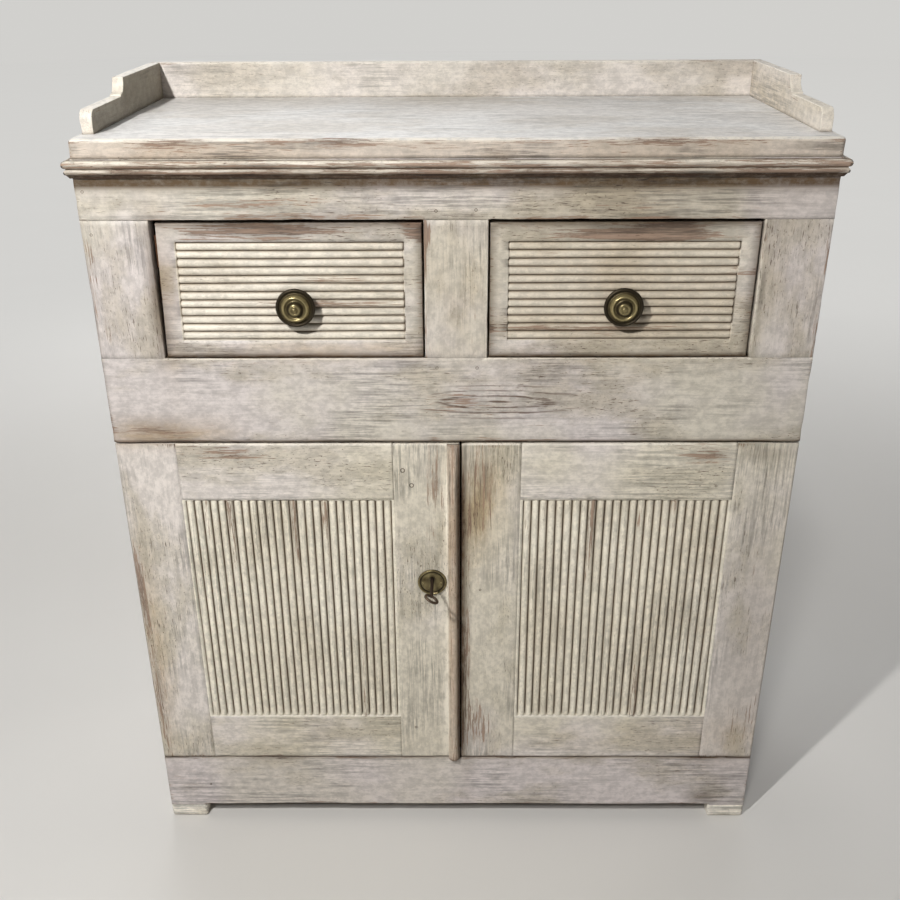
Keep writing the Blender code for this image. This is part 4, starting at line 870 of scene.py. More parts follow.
def points_of(piece: Piece) -> Array:
    """Places of a piece's vertices, one to a row."""
    return np.array([v.co[:] for v in piece.data.vertices])


def store_trace(piece: Piece, trace: Trace, amounts: Array) -> None:
    """Store on a piece how strong a trace of age is at each vertex.

    Args:
        piece: The piece.
        trace: Kind of trace.
        amounts: One number for each vertex.
    """
    layer = piece.data.attributes.new(trace.value, "FLOAT", "POINT")
    layer.data.foreach_set("value", np.clip(amounts, 0.0, 1.0).astype(np.float32))


def dress_small(piece: Piece, finish: Finish, bare: Array, grime: Array) -> None:
    """Lay a finish on a small piece, with where it is rubbed and where it is dirty.

    Args:
        piece: The piece.
        finish: Its finish.
        bare: How far each vertex is rubbed; on the knob it also holds a painted highlight.
        grime: Grime at each vertex; on the knob it also holds painted shade.
    """
    store_trace(piece, Trace.BARE, bare)
    store_trace(piece, Trace.GRIME, grime)
    piece.data.materials.append(finish.material())


def store_marks(piece: Piece, bare: Array, grime: Array, pale: Array) -> None:
    """Store all traces on a piece, with the marks of the whole cabinet added.

    Args:
        piece: The piece.
        bare: Bare wood at each vertex.
        grime: Grime at each vertex, with painted shade in grooves, gaps and hollows.
        pale: Painted highlight at each vertex: lighter paint on edges that face the light.
    """
    places = points_of(piece)
    none = np.zeros(len(places))
    for trace, amounts in ((Trace.BARE, bare), (Trace.GRIME, grime), (Trace.PALE, pale), (Trace.TAN, none)):
        added = sum(mark.amount(places) for mark in MARKS if mark.trace is trace)
        store_trace(piece, trace, amounts + added)


def even_normals(piece: Piece) -> None:
    """Let the large faces of a piece set how its edges are shaded."""
    piece.modifiers.new("even_normals", "WEIGHTED_NORMAL").keep_sharp = True


def seat(piece: Piece, slot: str, *nodes: str) -> Piece:
    """Let a piece stand for its nodes and ride with them.

    Args:
        piece: The piece.
        slot: Material slot that its finish belongs to; not used.
        nodes: The nodes that it stands for.

    Returns:
        The piece.
    """
    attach(piece, body_of(nodes[0]))
    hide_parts(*nodes)
    return piece


@dataclass
class WornPiece:
    """A board over its node, with rounded and chipped arrises and traces of age."""

    node: str
    finish: Finish
    inside: Optional[Finish] = None
    inward: Point = (0.0, 1.0, 0.0)
    border: Optional[Finish] = None
    rules: tuple[float, ...] = ()
    arris: Arris = Arris.OUTER
    radius: float = 0.0
    chip: float = 0.0016
    pitch: float = 0.014
    edge_wear: float = 0.42
    # Lighter paint on up-facing arrises, a painted highlight, and paint kept there so that it shows.
    edge_highlight: float = 0.7
    highlight_keeps_paint: float = 0.0
    open_joints: bool = False
    bridge: float = 0.00017
    ragged: float = 0.0
    outward: Point = (0.0, 0.0, 0.0)
    # Darkens points set back from the most proud face: painted shade, with dirt.
    hollow: float = 0.0
    bare_from: float = 1.0
    edge_lines: tuple[float, ...] = (0.004, 0.009, 0.016)
    edge_share: float = 0.3
    plain_length: float = 0.06
    end_gap: float = 0.0005
    flat_angle: float = 0.01
    arris_angle: float = 28.0
    sharp_angle: float = 50.0
    chip_from: float = 0.12
    dip: float = 0.00012
    ragged_height: float = 0.012
    wear_width: float = 0.005
    grime_width: float = 0.009
    # Width of the painted highlight along an arris, and depth over which set-back points darken as painted
    # shade.
    highlight_width: float = 0.004
    shade_depth: float = 0.0055
    slot: str = "frame_paint"

    def build(self) -> Piece:
        """Make the board.

        Returns:
            The piece, seated in place of its node.
        """
        bm = bmesh.new()
        bm.from_mesh(frame["nodes"][self.node].data)
        bmesh.ops.remove_doubles(bm, verts=bm.verts[:], dist=WELD)
        bmesh.ops.dissolve_limit(bm, angle_limit=self.flat_angle, verts=bm.verts[:], edges=bm.edges[:])
        boxes = self.neighbours()
        low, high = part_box(self.node)
        for axis in range(3):
            sides = {round(corner[axis], 5) for box in boxes for corner in box}
            start, end = low[axis] + self.end_gap, high[axis] - self.end_gap
            self.divide(bm, axis, [place for place in sorted(sides) if start < place < end])
        edges = [edge for edge in self.arrises(bm) if self.open_joints or not self.is_joint(edge, boxes)]
        lines = np.array([[v.co[:] for v in edge.verts] for edge in edges])
        if self.radius > 0.0:
            bmesh.ops.bevel(bm, geom=edges, offset=self.radius, offset_type="OFFSET", segments=3, profile=0.5,
                            affect="EDGES", clamp_overlap=True)
        self.rule_lines(bm)
        near, places, upward = self.wear_down(bm, lines)
        if not self.open_joints:
            self.close_joints(bm, boxes, places)
        piece = link_piece(f"{self.node}_worn", bm, self.sharp_angle)
        self.dress(piece, near, places, upward)
        even_normals(piece)
        return seat(piece, self.slot, self.node)

    def neighbours(self) -> list[Box]:
        """Boxes of the pieces of the same body that touch this one.

        Returns:
            Lowest and highest corner of each.
        """
        low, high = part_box(self.node)
        boxes = [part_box(name) for name in frame["nodes"]
                 if name != self.node and body_of(name) == body_of(self.node)]
        return [(a, b) for a, b in boxes
                if all(a[i] < high[i] + TIGHT and b[i] > low[i] - TIGHT for i in range(3))]

    def is_joint(self, edge: bmesh.types.BMEdge, boxes: list[Box]) -> bool:
        """True where another piece lies tight against one side of an edge.

        Args:
            edge: The edge.
            boxes: Boxes of the neighbours.

        Returns:
            Whether the edge is part of a joint.
        """
        middle = (edge.verts[0].co + edge.verts[1].co) / 2
        one, two = (face.normal for face in edge.link_faces)
        probes = (middle + TIGHT * one - PROBE_INSET * two, middle + TIGHT * two - PROBE_INSET * one)
        return any(within(probe, boxes) for probe in probes)

    def arrises(self, bm: Mesh) -> list[bmesh.types.BMEdge]:
        """The edges that can wear.

        Args:
            bm: The board's mesh.

        Returns:
            Its worn edges.
        """
        if self.arris is Arris.ALL:
            sharp = math.radians(self.arris_angle)
            return [e for e in bm.edges if e.is_manifold and e.calc_face_angle() > sharp]
        low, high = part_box(self.node)
        return [edge for edge in bm.edges if lies_on_box(edge, low, high)]

    def rule_lines(self, bm: Mesh) -> None:
        """Divide the board's faces into small fields.

        Args:
            bm: The board's mesh.
        """
        low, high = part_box(self.node)
        for axis in range(3):
            self.divide(bm, axis, self.stations(low[axis], high[axis]))
        self.divide(bm, 2, list(self.rules))

    def divide(self, bm: Mesh, axis: int, places: list[float]) -> None:
        """Draw dividing lines round the board.

        Args:
            bm: The board's mesh.
            axis: Axis that the lines are square to.
            places: Where they are along it.
        """
        normal = Vector((0.0, 0.0, 0.0))
        normal[axis] = 1.0
        for place in places:
            bmesh.ops.bisect_plane(bm, geom=bm.verts[:] + bm.edges[:] + bm.faces[:], dist=WELD,
                                   plane_co=normal * place, plane_no=normal)

    def stations(self, low: float, high: float) -> list[float]:
        """Places of the dividing lines along one axis, closer near the edges.

        Args:
            low: Start of the board.
            high: End of the board.

        Returns:
            The places between them.
        """
        length = high - low
        insets = [d for d in self.edge_lines if d < self.edge_share * length]
        places = [low + d for d in insets] + [high - d for d in insets]
        if length > self.plain_length:
            last = self.edge_lines[-1]
            inner = length - 2.0 * last
            count = max(1, round(inner / self.pitch))
            places += [low + last + inner * i / count for i in range(1, count)]
        return places

    def wear_down(self, bm: Mesh, lines: Array) -> tuple[Array, Array, Array]:
        """Chip the arrises and make the faces a little uneven, always inwards.

        Args:
            bm: The board's mesh.
            lines: The arrises before they were rounded.

        Returns:
            How far each vertex is from an arris, where it was, and how far it faces up.
        """
        bm.normal_update()
        upward = np.array([v.normal.z for v in bm.verts])
        places = np.array([v.co[:] for v in bm.verts])
        near = distance_to_lines(places, lines)
        reach = max(0.0028, 1.8 * self.radius)
        broken = np.maximum(0.0, rough_at(places, scale=75.0, shift=2.0) - self.chip_from)
        chips = self.chip * broken * bell(near, reach)
        dips = self.dip * (1.0 + rough_at(places, scale=11.0, shift=9.0))
        low = min(v.co.z for v in bm.verts)
        for vert, chip, dip, place in zip(bm.verts, chips, dips, places):
            vert.co -= vert.normal * (chip + dip)
            if self.ragged > 0.0:
                lift = 0.5 + 0.5 * noise.noise(Vector((7.0 * place[0], 3.0, 0.0)))
                vert.co.z += self.ragged * lift * math.exp(-(((place[2] - low) / self.ragged_height) ** 2))
        return near, places, upward

    def close_joints(self, bm: Mesh, boxes: list[Box], places: Array) -> None:
        """Bring the faces that meet another piece closer to it, so that paint bridges all but a hairline.

        Args:
            bm: The board's mesh.
            boxes: Boxes of the neighbours.
            places: Where the vertices were before wear.
        """
        low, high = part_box(self.node)
        for vert, place in zip(bm.verts, places):
            for axis in range(3):
                for side, end in ((-1.0, low[axis]), (1.0, high[axis])):
                    if abs(place[axis] - end) > ON_FACE:
                        continue
                    probe = Vector(place)
                    probe[axis] += side * PROBE_OUT
                    if within(probe, boxes, JOINT_SLACK):
                        filled = min(1.0, 1.05 + 1.1 * noise.noise(30.0 * Vector(place)))
                        vert.co[axis] = end + side * self.bridge * filled

    def dress(self, piece: Piece, near: Array, places: Array, upward: Array) -> None:
        """Give the board its finish inside and out, its traces of age, and painted highlight and shade.

        Args:
            piece: The board.
            near: How far each vertex is from an arris.
            places: Where the vertices are.
            upward: How far each vertex faces up.
        """
        patchy = 0.5 + 0.9 * rough_at(places, scale=16.0, shift=5.0)
        bare = self.edge_wear * bell(near, self.wear_width) * np.maximum(0.0, patchy)
        dirty = np.maximum(0.0, rough_at(places, scale=10.0, shift=8.0))
        grime = 0.3 * bell(near, self.grime_width) * dirty
        # Up-facing arrises keep their paint and are painted lighter: a painted highlight where light falls on
        # them.
        top = np.clip(1.6 * upward, 0.0, 1.0)
        bare *= 1.0 - self.highlight_keeps_paint * top
        pale = self.edge_highlight * bell(near, self.highlight_width) * top
        # Points set back from the most proud face are darkened: painted shade, with dirt.
        proud = places @ np.array(self.outward)
        grime += self.hollow * np.clip((np.max(proud) - proud) / self.shade_depth, 0.0, 1.0) ** 1.4
        pale *= np.clip(0.8 + rough_at(places, scale=9.0, shift=3.0), 0.0, 1.0)
        store_marks(piece, bare, grime, pale)
        piece.data.materials.clear()
        piece.data.materials.append(self.finish.material())
        for finish in (self.inside, self.border):
            piece.data.materials.append((finish or self.finish).material())
        inward = Vector(self.inward)
        for face in piece.data.polygons:
            bared = face.normal.dot(inward) > FACING or face.center.y > self.bare_from
            face.material_index = int(bared) or 2 * int(abs(face.normal.z) < 0.6)


@dataclass
class BareNode:
    """A hidden piece that keeps its node's shape, with eased edges and a finish."""

    node: str
    finish: Finish
    ease: float = 0.0007

    def build(self) -> Piece:
        """Ease the node's edges and dress it.

        Returns:
            The node's object.
        """
        piece = frame["nodes"][self.node]
        for slot in piece.material_slots:
            slot.material = self.finish.material()
        easing = piece.modifiers.new("eased_edges", "BEVEL")
        easing.width = self.ease
        easing.segments = 2
        easing.limit_method = "ANGLE"
        easing.angle_limit = math.radians(40)
        even_normals(piece)
        return piece


@dataclass
class ReededFace:
    """Hand-cut reeds in a flat face: round backs and sharp grooves that wander a little."""

    across: Span
    along: Span
    margin_across: float
    margin_along: float
    count: int
    depth: float
    seed: float
    runout: float
    rounding: float
    tip: float = 0.0024
    lip: float = 0.0008
    wander: float = 0.06
    sway: float = 0.02
    dent: float = 0.07
    low_back: float = 0.06
    set_in: float = 0.03
    pink_from: float = 0.18
    pitch: float = 0.009
    flat_pitch: float = 0.005
    uneven_end: float = 0.0005
    groove: float = 0.1
    shoulder: float = 0.86
    shares: tuple[float, ...] = (
        0.0, 0.03, 0.06, 0.1, 0.17, 0.27, 0.38, 0.5, 0.62, 0.73, 0.83, 0.9, 0.94, 0.97)
    end_steps: tuple[float, ...] = (-0.001, 0.0, 0.0008, 0.0017, 0.0028, 0.0042, 0.006)

    def grooves(self, place: float) -> Array:
        """Where the grooves are at one place along the reeds.

        Args:
            place: The place along the reeds.

        Returns:
            The places of the grooves across them.
        """
        low = self.across[0] + self.margin_across + self.lip
        high = self.across[1] - self.margin_across - self.lip
        pitch = (high - low) / self.count
        lines = np.linspace(low, high, self.count + 1)
        for i in range(1, self.count):
            lines[i] += self.sway * pitch * math.sin(2.1 * i)
            waver = noise.noise(Vector((3.7 * i + self.seed, 7.0 * place, 0.0)))
            lines[i] += self.wander * pitch * waver
        return lines

    def border(self, span: Span) -> tuple[list[float], list[float]]:
        """Lines that round the face over at its border, at one end of a span and the other.

        Args:
            span: The span.

        Returns:
            Places of the lines at the low end and at the high end.
        """
        insets = [0.0, 0.25 * self.rounding, 0.6 * self.rounding, self.rounding]
        return [span[0] + d for d in insets], [span[1] - d for d in reversed(insets)]

    def rows(self) -> list[float]:
        """Places along the reeds at which the face is laid out.

        Returns:
            The places, from end to end.
        """
        low, high = self.border(self.along)
        start, end = self.along[0] + self.margin_along, self.along[1] - self.margin_along
        last = self.end_steps[-1]
        places = low + high + [start + d for d in self.end_steps] + [end - d for d in self.end_steps]
        for a, b in ((self.along[0], start), (start + last, end - last), (end, self.along[1])):
            parts = max(1, round((b - a) / self.pitch))
            places += [a + (b - a) * i / parts for i in range(1, parts)]
        places = sorted(p for p in places if self.along[0] <= p <= self.along[1])
        return [p for i, p in enumerate(places) if i == 0 or p - places[i - 1] > 1e-5]

    def columns(self, place: float) -> list[tuple[float, int, float]]:
        """Places across the reeds at one place along them.

        Args:
            place: The place along the reeds.

        Returns:
            For each column its place, its reed and the share of the reed; -1 and 0 on the flat.
        """
        low, high = self.border(self.across)
        start, end = self.across[0] + self.margin_across, self.across[1] - self.margin_across
        parts = max(1, round((start - low[-1]) / self.flat_pitch))
        result = [(p, -1, 0.0) for p in low]
        result += [(low[-1] + (start - low[-1]) * i / parts, -1, 0.0) for i in range(1, parts + 1)]
        lines = self.grooves(place)
        for i in range(self.count):
            result += [(lines[i] + s * (lines[i + 1] - lines[i]), i, s) for s in self.shares]
        result.append((lines[-1], self.count - 1, 1.0))
        result += [(end + (high[0] - end) * i / parts, -1, 0.0) for i in range(parts)]
        return result + [(p, -1, 0.0) for p in high]

    def carve(self, place: float, across: float, reed: int, share: float) -> float:
        """Depth carved at one point of the reeds.

        Args:
            place: Place along the reeds.
            across: Place across them.
            reed: Number of the reed.
            share: Share of the reed's width.

        Returns:
            The depth below the face.
        """
        uneven = noise.noise(Vector((2.3 * reed + self.seed, 0.9 * reed, 1.0)))
        start = self.along[0] + self.margin_along + self.uneven_end * uneven
        uneven = noise.noise(Vector((1.9 * reed, self.seed, 4.0)))
        end = self.along[1] - self.margin_along - self.uneven_end * uneven
        gap = min(place - start, end - place)
        dent = self.dent * noise.noise(Vector((40.0 * across, 16.0 * place, self.seed)))
        low_back = self.low_back * max(0.0, noise.noise(Vector((5.1 * reed, 5.0 * place, self.seed))))
        sunk = self.profile(share) * (1.0 + dent) + low_back + self.set_in
        if gap <= 0.0:
            return 0.0
        set_back = self.tip * (1.0 - math.sqrt(max(0.0, 1.0 - (2.0 * share - 1.0) ** 2)))
        rise = min(1.0, max(0.0, (gap - set_back) / self.runout))
        sunk = max(sunk, 1.0 - math.sqrt(1.0 - (1.0 - rise) ** 2))
        return self.depth * min(1.0, max(0.0, sunk))

    def profile(self, share: float) -> float:
        """Depth of a reed's section, from 0 on its back to 1 in the middle of the groove.

        Args:
            share: Share of the reed's width.

        Returns:
            The share of the full depth.
        """
        aside = abs(2.0 * share - 1.0)
        flank = 1.0 - self.groove
        if aside <= flank:
            return self.shoulder * (1.0 - math.sqrt(max(0.0, 1.0 - (aside / flank) ** 2)))
        return self.shoulder + (1.0 - self.shoulder) * (aside - flank) / self.groove

    def ease(self, value: float, span: Span) -> float:
        """Depth of the rounding at the face's border.

        Args:
            value: Place across the border.
            span: The span of the face.

        Returns:
            The depth there.
        """
        gap = min(value - span[0], span[1] - value)
        if gap >= self.rounding:
            return 0.0
        return self.rounding * (1.0 - math.sqrt(max(0.0, 1.0 - (1.0 - gap / self.rounding) ** 2)))

    def block(self, place: Placer, thickness: float) -> tuple[Mesh, Array, Array]:
        """A closed block with the reeds in its face.

        Args:
            place: Turns a place across, a place along and a depth into a point.
            thickness: Thickness of the block.

        Returns:
            The mesh, how deep each vertex lies in a groove, and how pink its reed has worn.
        """
        bm = bmesh.new()
        sunk: list[float] = []
        pink: list[float] = []
        grid = []
        for v in self.rows():
            line = []
            for u, reed, share in self.columns(v):
                depth = self.carve(v, u, reed, share) if reed >= 0 else 0.0
                depth = max(depth, self.ease(u, self.across), self.ease(v, self.along))
                line.append(bm.verts.new(place(u, v, depth)))
                sunk.append(min(1.0, depth / self.depth) if reed >= 0 else 0.0)
                tone = noise.noise(Vector((4.3 * reed + self.seed, 3.0 * v, 2.0))) if reed >= 0 else -1.0
                pink.append(max(0.0, tone - self.pink_from))
            grid.append(line)
        for lower, upper in zip(grid, grid[1:]):
            for i in range(len(lower) - 1):
                bm.faces.new((lower[i], lower[i + 1], upper[i + 1], upper[i]))
        rim = grid[0] + [row[-1] for row in grid[1:-1]] + grid[-1][::-1] + [row[0] for row in grid[-2:0:-1]]
        spots = [(u, self.along[0]) for u, _, _ in self.columns(self.along[0])]
        spots += [(self.across[1], v) for v in self.rows()[1:-1]]
        spots += [(u, self.along[1]) for u, _, _ in self.columns(self.along[1])][::-1]
        spots += [(self.across[0], v) for v in self.rows()[-2:0:-1]]
        back = [bm.verts.new(place(u, v, thickness)) for u, v in spots]
        for i in range(len(rim)):
            j = (i + 1) % len(rim)
            bm.faces.new((rim[j], rim[i], back[i], back[j]))
        bm.faces.new(back[::-1])
        bmesh.ops.recalc_face_normals(bm, faces=bm.faces[:])
        extra = [0.0] * len(back)
        return bm, np.array(sunk + extra), np.array(pink + extra)


def turned(profile: list[Span], centre: Span, sides: int, bm: Optional[Mesh] = None) -> Mesh:
    """A turned piece about an axis from front to back.

    Args:
        profile: Radius and place along Y of each ring, in order, with the ends on the axis.
        centre: X and Z of the axis.
        sides: Steps round the axis.
        bm: Mesh that takes the piece, or nothing for a new one.

    Returns:
        The mesh with the closed piece in it.
    """
    bm = bm or bmesh.new()
    rings = []
    for radius, y in profile:
        count = sides if radius > 1e-7 else 1
        turns = [2.0 * math.pi * i / sides for i in range(count)]
        rings.append([bm.verts.new((centre[0] + radius * math.cos(t), y, centre[1] + radius * math.sin(t)))
                      for t in turns])
    for one, two in zip(rings, rings[1:]):
        for i in range(sides):
            corners = [one[i % len(one)], one[(i + 1) % len(one)], two[(i + 1) % len(two)], two[i % len(two)]]
            bm.faces.new(list(dict.fromkeys(corners)))
    bmesh.ops.recalc_face_normals(bm, faces=bm.faces[:])
    return bm


def softened(points: list[Span], steps: int) -> list[Span]:
    """A smooth profile through some points.

    Args:
        points: The points.
        steps: Parts between one point and the next.

    Returns:
        The finer profile.
    """
    result = []
    for i in range(len(points) - 1):
        p0, p1, p2, p3 = (np.array(points[min(max(k, 0), len(points) - 1)]) for k in range(i - 1, i + 3))
        for j in range(steps):
            t = j / steps
            spot = 0.5 * (2 * p1 + (p2 - p0) * t + (2 * p0 - 5 * p1 + 4 * p2 - p3) * t * t
                          + (3 * p1 - p0 - 3 * p2 + p3) * t ** 3)
            result.append((max(0.0, float(spot[0])), float(spot[1])))
    return result + [points[-1]]


@dataclass
class Carcass:
    """Sides, back, bottom, shelf and drawer runners."""

    side_radius: float = 0.0016
    board_radius: float = 0.0022

    def build(self) -> list[Piece]:
        """Make all pieces of the carcass."""
        return self.build_sides() + self.build_back() + self.build_inside()

    def build_sides(self) -> list[Piece]:
        """Make the painted sides, bare inside.

        Returns:
            Both sides.
        """
        pieces = []
        for hand, inward in ((Hand.LEFT, 1.0), (Hand.RIGHT, -1.0)):
            board = WornPiece(f"side_panel_{hand.value}", SIDE_PAINT, PINE_TALL, (inward, 0.0, 0.0),
                              radius=self.side_radius, pitch=0.03)
            pieces.append(board.build())
        return pieces

    def build_back(self) -> list[Piece]:
        """Make the three unpainted back boards."""
        return [WornPiece(f"back_board_{i}", pine, radius=self.board_radius, pitch=0.05, open_joints=True,
                          slot="bare_pine").build() for i, pine in enumerate(BACK_PINES, 1)]

    def build_inside(self) -> list[Piece]:
        """Dress the boards inside the case.

        Returns:
            The pieces.
        """
        boards = [BareNode(name, PINE_WIDE) for name in ("bottom_board", "shelf_board", "drawer_kicker")]
        runners = [BareNode(f"drawer_runner_{name}", PINE_DEEP) for name in ("left", "middle", "right")]
        return [piece.build() for piece in boards + runners]


@dataclass
class FrontFrame:
    """Rails and stiles of the drawer storey, plinth and feet."""

    radius: float = 0.0017
    plinth_waver: float = 0.0028
    foot_radius: float = 0.005
    # Lines across the top rail that give the painted shadow under the moulding a sharp edge.
    shadow_band_lines: tuple[float, ...] = (0.9060, 0.9115, 0.9200, 0.9225, 0.9250, 0.9275, 0.9295, 0.9320)

    def build(self) -> list[Piece]:
        """Make the frame, the plinth and the feet.

        Returns:
            The pieces.
        """
        rails = [WornPiece("front_top_rail", RAIL_PAINT, PINE_WIDE, rules=self.shadow_band_lines,
                           radius=self.radius),
                 WornPiece("apron_rail", RAIL_PAINT, PINE_WIDE, radius=self.radius, edge_highlight=1.0,
                           highlight_keeps_paint=1.0)]
        stiles = [WornPiece(f"drawer_stile_{name}", STILE_PAINT, PINE_TALL, radius=self.radius)
                  for name in ("left", "middle", "right")]
        plinth = WornPiece("plinth_rail", PLINTH_PAINT, PINE_WIDE, radius=self.radius,
                           ragged=self.plinth_waver)
        feet = [WornPiece(f"foot_{end}_{hand.value}", FOOT_LIT_PAINT, radius=self.foot_radius, chip=0.003,
                          pitch=0.008, edge_wear=0.15) for end in ("front", "rear") for hand in Hand]
        return [piece.build() for piece in stiles + feet + rails + [plinth]]


@dataclass
class TopAndGallery:
    """Top board, the moulding under it and the gallery on three of its sides."""

    gallery_radius: float = 0.0022

    def build(self) -> list[Piece]:
        """Make the top, the moulding and the gallery.

        Returns:
            The pieces.
        """
        top = WornPiece("top_board", TOP_COOL_LIT_PAINT, PINE_WIDE, (0.0, 0.0, -1.0), TOP_EDGE_PAINT,
                        arris=Arris.ALL, chip=0.002, edge_wear=0.32)
        # Mouldings get lighter paint on up-facing edges, a painted highlight, and darker paint where set
        # back, painted shade with dirt.
        mouldings = [WornPiece(f"top_moulding_{name}", paint, arris=Arris.ALL, pitch=0.012, edge_wear=0.35,
                               edge_highlight=1.0, highlight_keeps_paint=0.7, outward=outward, hollow=0.9)
                     for name, paint, outward in (("front", MOULDING_PAINT, (0.0, -1.0, 0.0)),
                                                  ("left", MOULDING_END_PAINT, (-1.0, 0.0, 0.0)),
                                                  ("right", MOULDING_END_PAINT, (1.0, 0.0, 0.0)))]
        # The left gallery's inner face takes the dark paint: painted shade.
        gallery = [WornPiece(f"gallery_{name}", paint, inner, (1.0, 0.0, 0.0), arris=Arris.ALL,
                             radius=self.gallery_radius, chip=0.0012, pitch=0.02, edge_wear=0.25)
                   for name, paint, inner in (("back", GALLERY_PAINT, None),
                                              ("left", GALLERY_END_PAINT, GALLERY_SHADED_INNER_PAINT),
                                              ("right", GALLERY_END_PAINT, None))]
        return [piece.build() for piece in [top] + mouldings + gallery]


@dataclass
class Door:
    """A door: four frame members round a panel of upright reeds."""

    hand: Hand
    meeting: str
    reeds: int
    seed: float
    reed_wear: float
    radius: float = 0.0026
    bridge: float = 0.0004
    bare_from: float = -0.134
    tongue: float = 0.007
    reed_depth: float = 0.0040
    reed_margin: float = 0.0035
    reed_end_margin: float = 0.0008
    reed_runout: float = 0.0028
    reed_tip: float = 0.0030
    reed_rounding: float = 0.0004
    foot_height: float = 0.0045

    @property
    def prefix(self) -> str:
        """First part of the names of this door's pieces."""
        return f"{self.hand.value}_door"

    def build(self) -> list[Piece]:
        """Make the frame and the panel.

        Returns:
            The pieces.
        """
        stiles = [WornPiece(f"{self.prefix}_{name}", paint, PINE_TALL, radius=self.radius, edge_wear=wear,
                            edge_highlight=1.0, highlight_keeps_paint=1.0, bridge=self.bridge, bare_from=self.bare_from)
                  for name, paint, wear in (("hinge_stile", HINGE_STILE_PAINT, 0.62),
                                            (self.meeting, DOOR_STILE_PAINT, 0.42))]
        rails = [WornPiece(f"{self.prefix}_{name}", DOOR_RAIL_PAINT, PINE_WIDE, radius=self.radius,
                           edge_highlight=1.0, highlight_keeps_paint=1.0, bare_from=self.bare_from)
                 for name in ("top_rail", "bottom_rail")]
        return [piece.build() for piece in stiles + rails] + [self.build_panel()]

    def build_panel(self) -> Piece:
        """Make the reeded panel.

        Returns:
            The panel.
        """
        node = f"{self.prefix}_panel"
        low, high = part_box(node)
        tongue = self.tongue
        face = ReededFace((low.x + tongue, high.x - tongue), (low.z + tongue, high.z - tongue),
                          self.reed_margin, self.reed_end_margin, self.reeds, self.reed_depth, self.seed,
                          self.reed_runout, self.reed_rounding, self.reed_tip)
        bm, sunk, pink = face.block(lambda u, v, d: (u, low.y + d, v), high.y - low.y)
        piece = link_piece(f"{node}_reeded", bm)
        # Near the foot of the panel, where the reeds run out facing up, the paint is made lighter and
        # cleaner: a painted highlight. The grooves darken with depth: dirt, and painted shade.
        foot = bell(points_of(piece)[:, 2] - low.z - tongue, self.foot_height)
        grime = np.clip(1.2 * sunk, 0.0, 1.0) ** 1.4 * (1.0 - 0.9 * foot)
        store_marks(piece, self.reed_wear * pink * (1.0 - 0.5 * sunk), grime, foot)
        for finish in (REED_PAINT, PINE_TALL):
            piece.data.materials.append(finish.material())
        for polygon in piece.data.polygons:
            polygon.material_index = int(polygon.normal.y > FACING)
        return seat(piece, "reed_paint", node)


@dataclass
class MeetingBead:
    """Half-round bead on the left door's meeting edge."""

    chip: float = 0.0012

    def build(self) -> list[Piece]:
        """Make the bead."""
        return [WornPiece("meeting_bead", BEAD_PAINT, arris=Arris.ALL, chip=self.chip, pitch=0.012,
                          edge_wear=0.35).build()]


